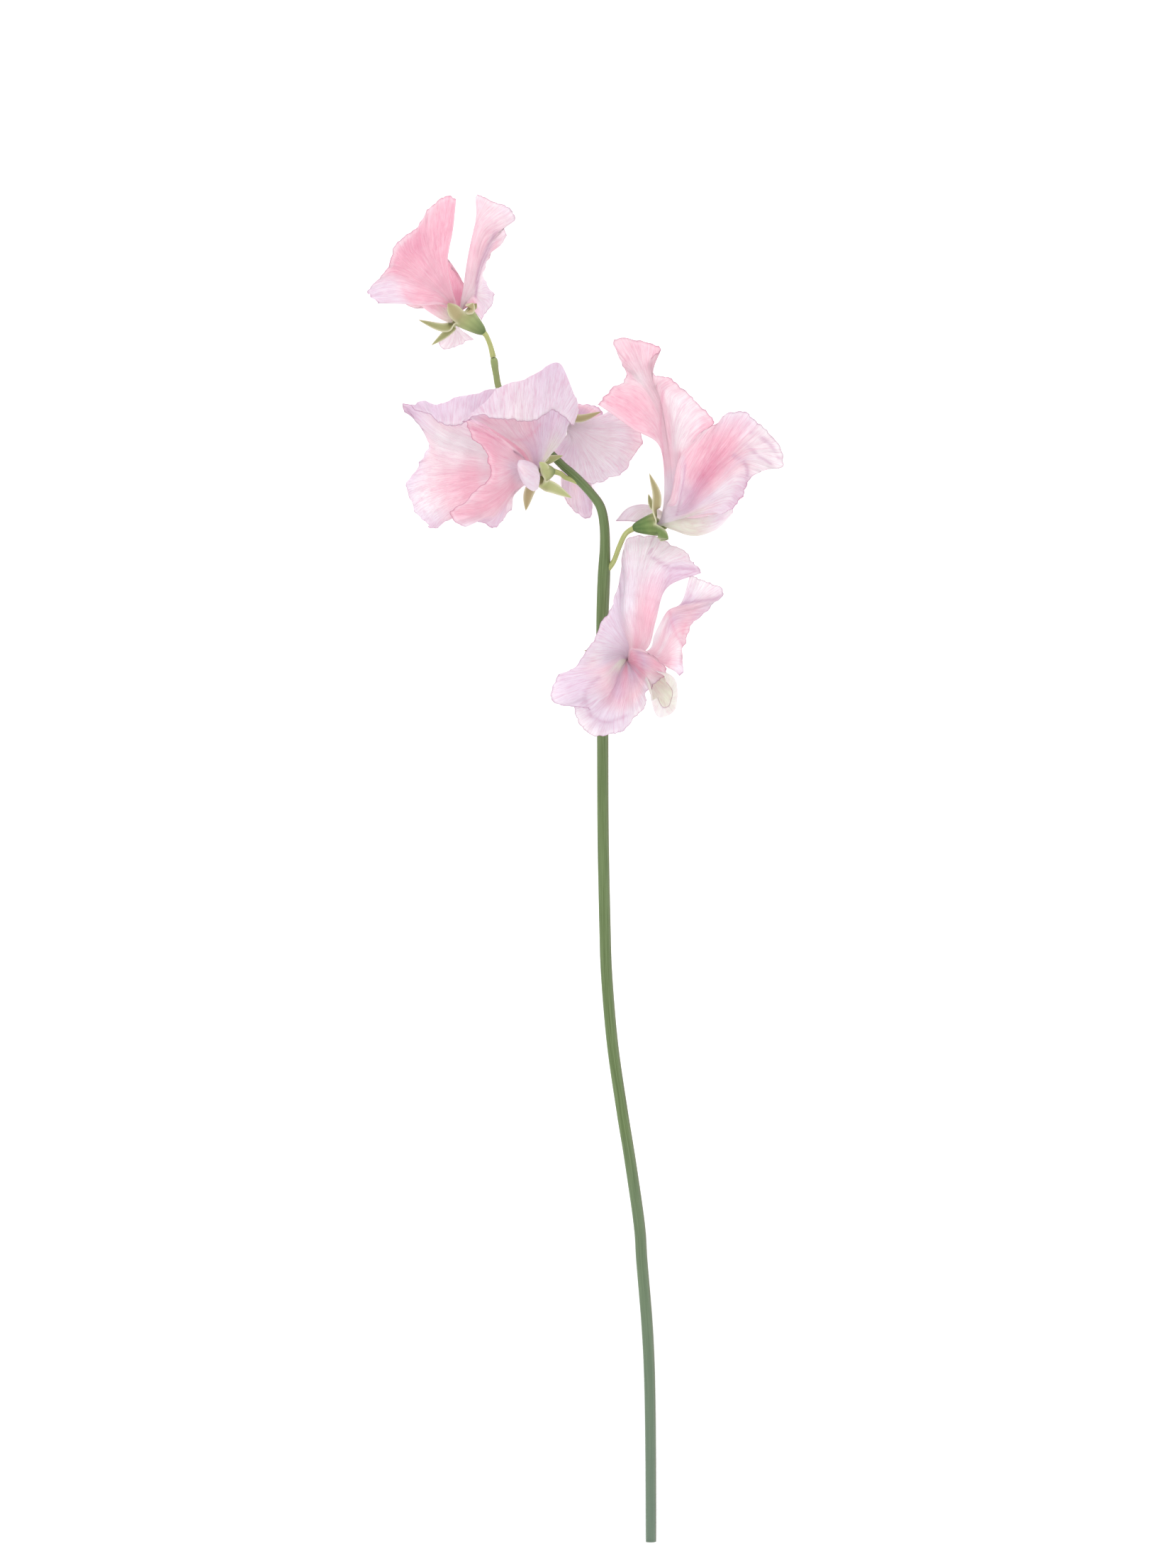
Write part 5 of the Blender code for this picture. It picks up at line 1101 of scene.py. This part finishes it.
petal("back", "wing_right", (-69, -121), (
    ("mmPm", (-9.2, 304.2, 12.8), (-9.2, 305.6, 12.2), (-9.2, 306.5, 11.5), (-9.2, 307.2, 10.5)),
    ("mmPm", (-8.8, 304, 12.2), (-8, 305.6, 11.5), (-7.3, 306.8, 11), (-7, 307.6, 10)),
    ("mmPm", (-8.5, 303.6, 11.6), (-6.5, 304.8, 11), (-5.2, 306, 10.4), (-4, 307, 9.4)),
    ("mmPm", (-8.3, 303.2, 11), (-5.8, 304, 10.3), (-3.8, 304.8, 9.7), (-2.4, 305.7, 9)),
    ("mmPm", (-8.1, 303, 10.4), (-5.5, 303.3, 9.6), (-3.5, 303.8, 9), (-2, 304.3, 8.4)),
))

petal("back", "keel", (-152, -208), (
    ("cccc", (-7.5, 301.5, 10.5), (-3, 300.5, 8.8), (1, 299, 7.3), (3, 298, 7.6)),
    ("cccc", (-7.5, 301.5, 9), (-3, 300.5, 6.5), (1, 299, 5), (3.3, 298, 6.8)),
    ("cccc", (-7.5, 299.8, 8.5), (-3, 298.3, 5.5), (1.3, 297, 4), (3.5, 297.2, 6.6)),
    ("cccc", (-7.5, 298.5, 9), (-3, 296.3, 6.5), (1, 295.3, 5), (3.3, 296.5, 6.8)),
    ("cccc", (-7.5, 298.5, 10.5), (-3, 296.3, 8.8), (1, 295.3, 7.3), (3, 296.5, 7.6)),
))

# ---------------------------------------------------------------------------------------------
# Table, light and camera. A matt white table top with a slight glow of its own, in a bright room
# with one soft window to the upper left. A long lens looks straight down from above.
# ---------------------------------------------------------------------------------------------
TABLE_SIZE = 6.0
ROOM_LIGHT = 1.1
TABLE_GLOW = 0.3
CAMERA_HEIGHT = 2.358
CAMERA_AIM = (0.00328, 0.0235)
CAMERA_LENS = 200
FILM_HEIGHT = 36
FARTHEST = 20

table_skin = Surface("white_table", 0.9, 0.1)
table_place = table_skin.add("ShaderNodeTexCoord", {}, {}, "Object")
table_tone = table_skin.cloud(table_place, (1, 1, 1), 30.0, 3.0)
table_skin.feed(table_skin.skin.inputs["Base Color"],
                table_skin.blend(table_tone, (0.93, 0.93, 0.94, 1), (0.95, 0.95, 0.95, 1)))
table_skin.skin.inputs["Emission Color"].default_value = (1, 1, 1, 1)
table_skin.skin.inputs["Emission Strength"].default_value = TABLE_GLOW

half_table = TABLE_SIZE / 2
table_mesh = bpy.data.meshes.new("table_top")
table_mesh.from_pydata([(-half_table, -half_table, 0), (half_table, -half_table, 0),
                        (half_table, half_table, 0), (-half_table, half_table, 0)], [], [(0, 1, 2, 3)])
table_mesh.materials.append(table_skin.material)
table = bpy.data.objects.new("table_top", table_mesh)
bpy.context.scene.collection.objects.link(table)

room = bpy.data.worlds.new("bright_room")
room.use_nodes = True
room.node_tree.nodes["Background"].inputs["Color"].default_value = (1, 1, 1, 1)
room.node_tree.nodes["Background"].inputs["Strength"].default_value = ROOM_LIGHT
bpy.context.scene.world = room
bpy.context.scene.view_settings.view_transform = "Standard"


def soft_light(name, place, size, power, target):
    """A square lamp at a place, turned to face its target: tilted by the angle whose tangent is
    the level distance over the drop, and turned about Z towards it."""
    lamp = bpy.data.lights.new(name, "AREA")
    lamp.size = size
    lamp.energy = power
    holder = bpy.data.objects.new(name, lamp)
    holder.location = place
    way = np.array(target, float) - np.array(place, float)
    holder.rotation_euler = (math.atan2(math.hypot(way[0], way[1]), -way[2]), 0,
                             math.atan2(way[1], way[0]) - math.pi / 2)
    bpy.context.scene.collection.objects.link(holder)


soft_light("soft_window", place=(-1.1, 1.3, 1.3), size=0.9, power=6, target=(0, 0.1, 0))

camera = bpy.data.cameras.new("overhead_camera")
camera.lens = CAMERA_LENS
camera.sensor_fit = "VERTICAL"
camera.sensor_height = FILM_HEIGHT
camera.clip_end = FARTHEST
camera_holder = bpy.data.objects.new("overhead_camera", camera)
camera_holder.location = (*CAMERA_AIM, CAMERA_HEIGHT)
bpy.context.scene.collection.objects.link(camera_holder)
bpy.context.scene.camera = camera_holder
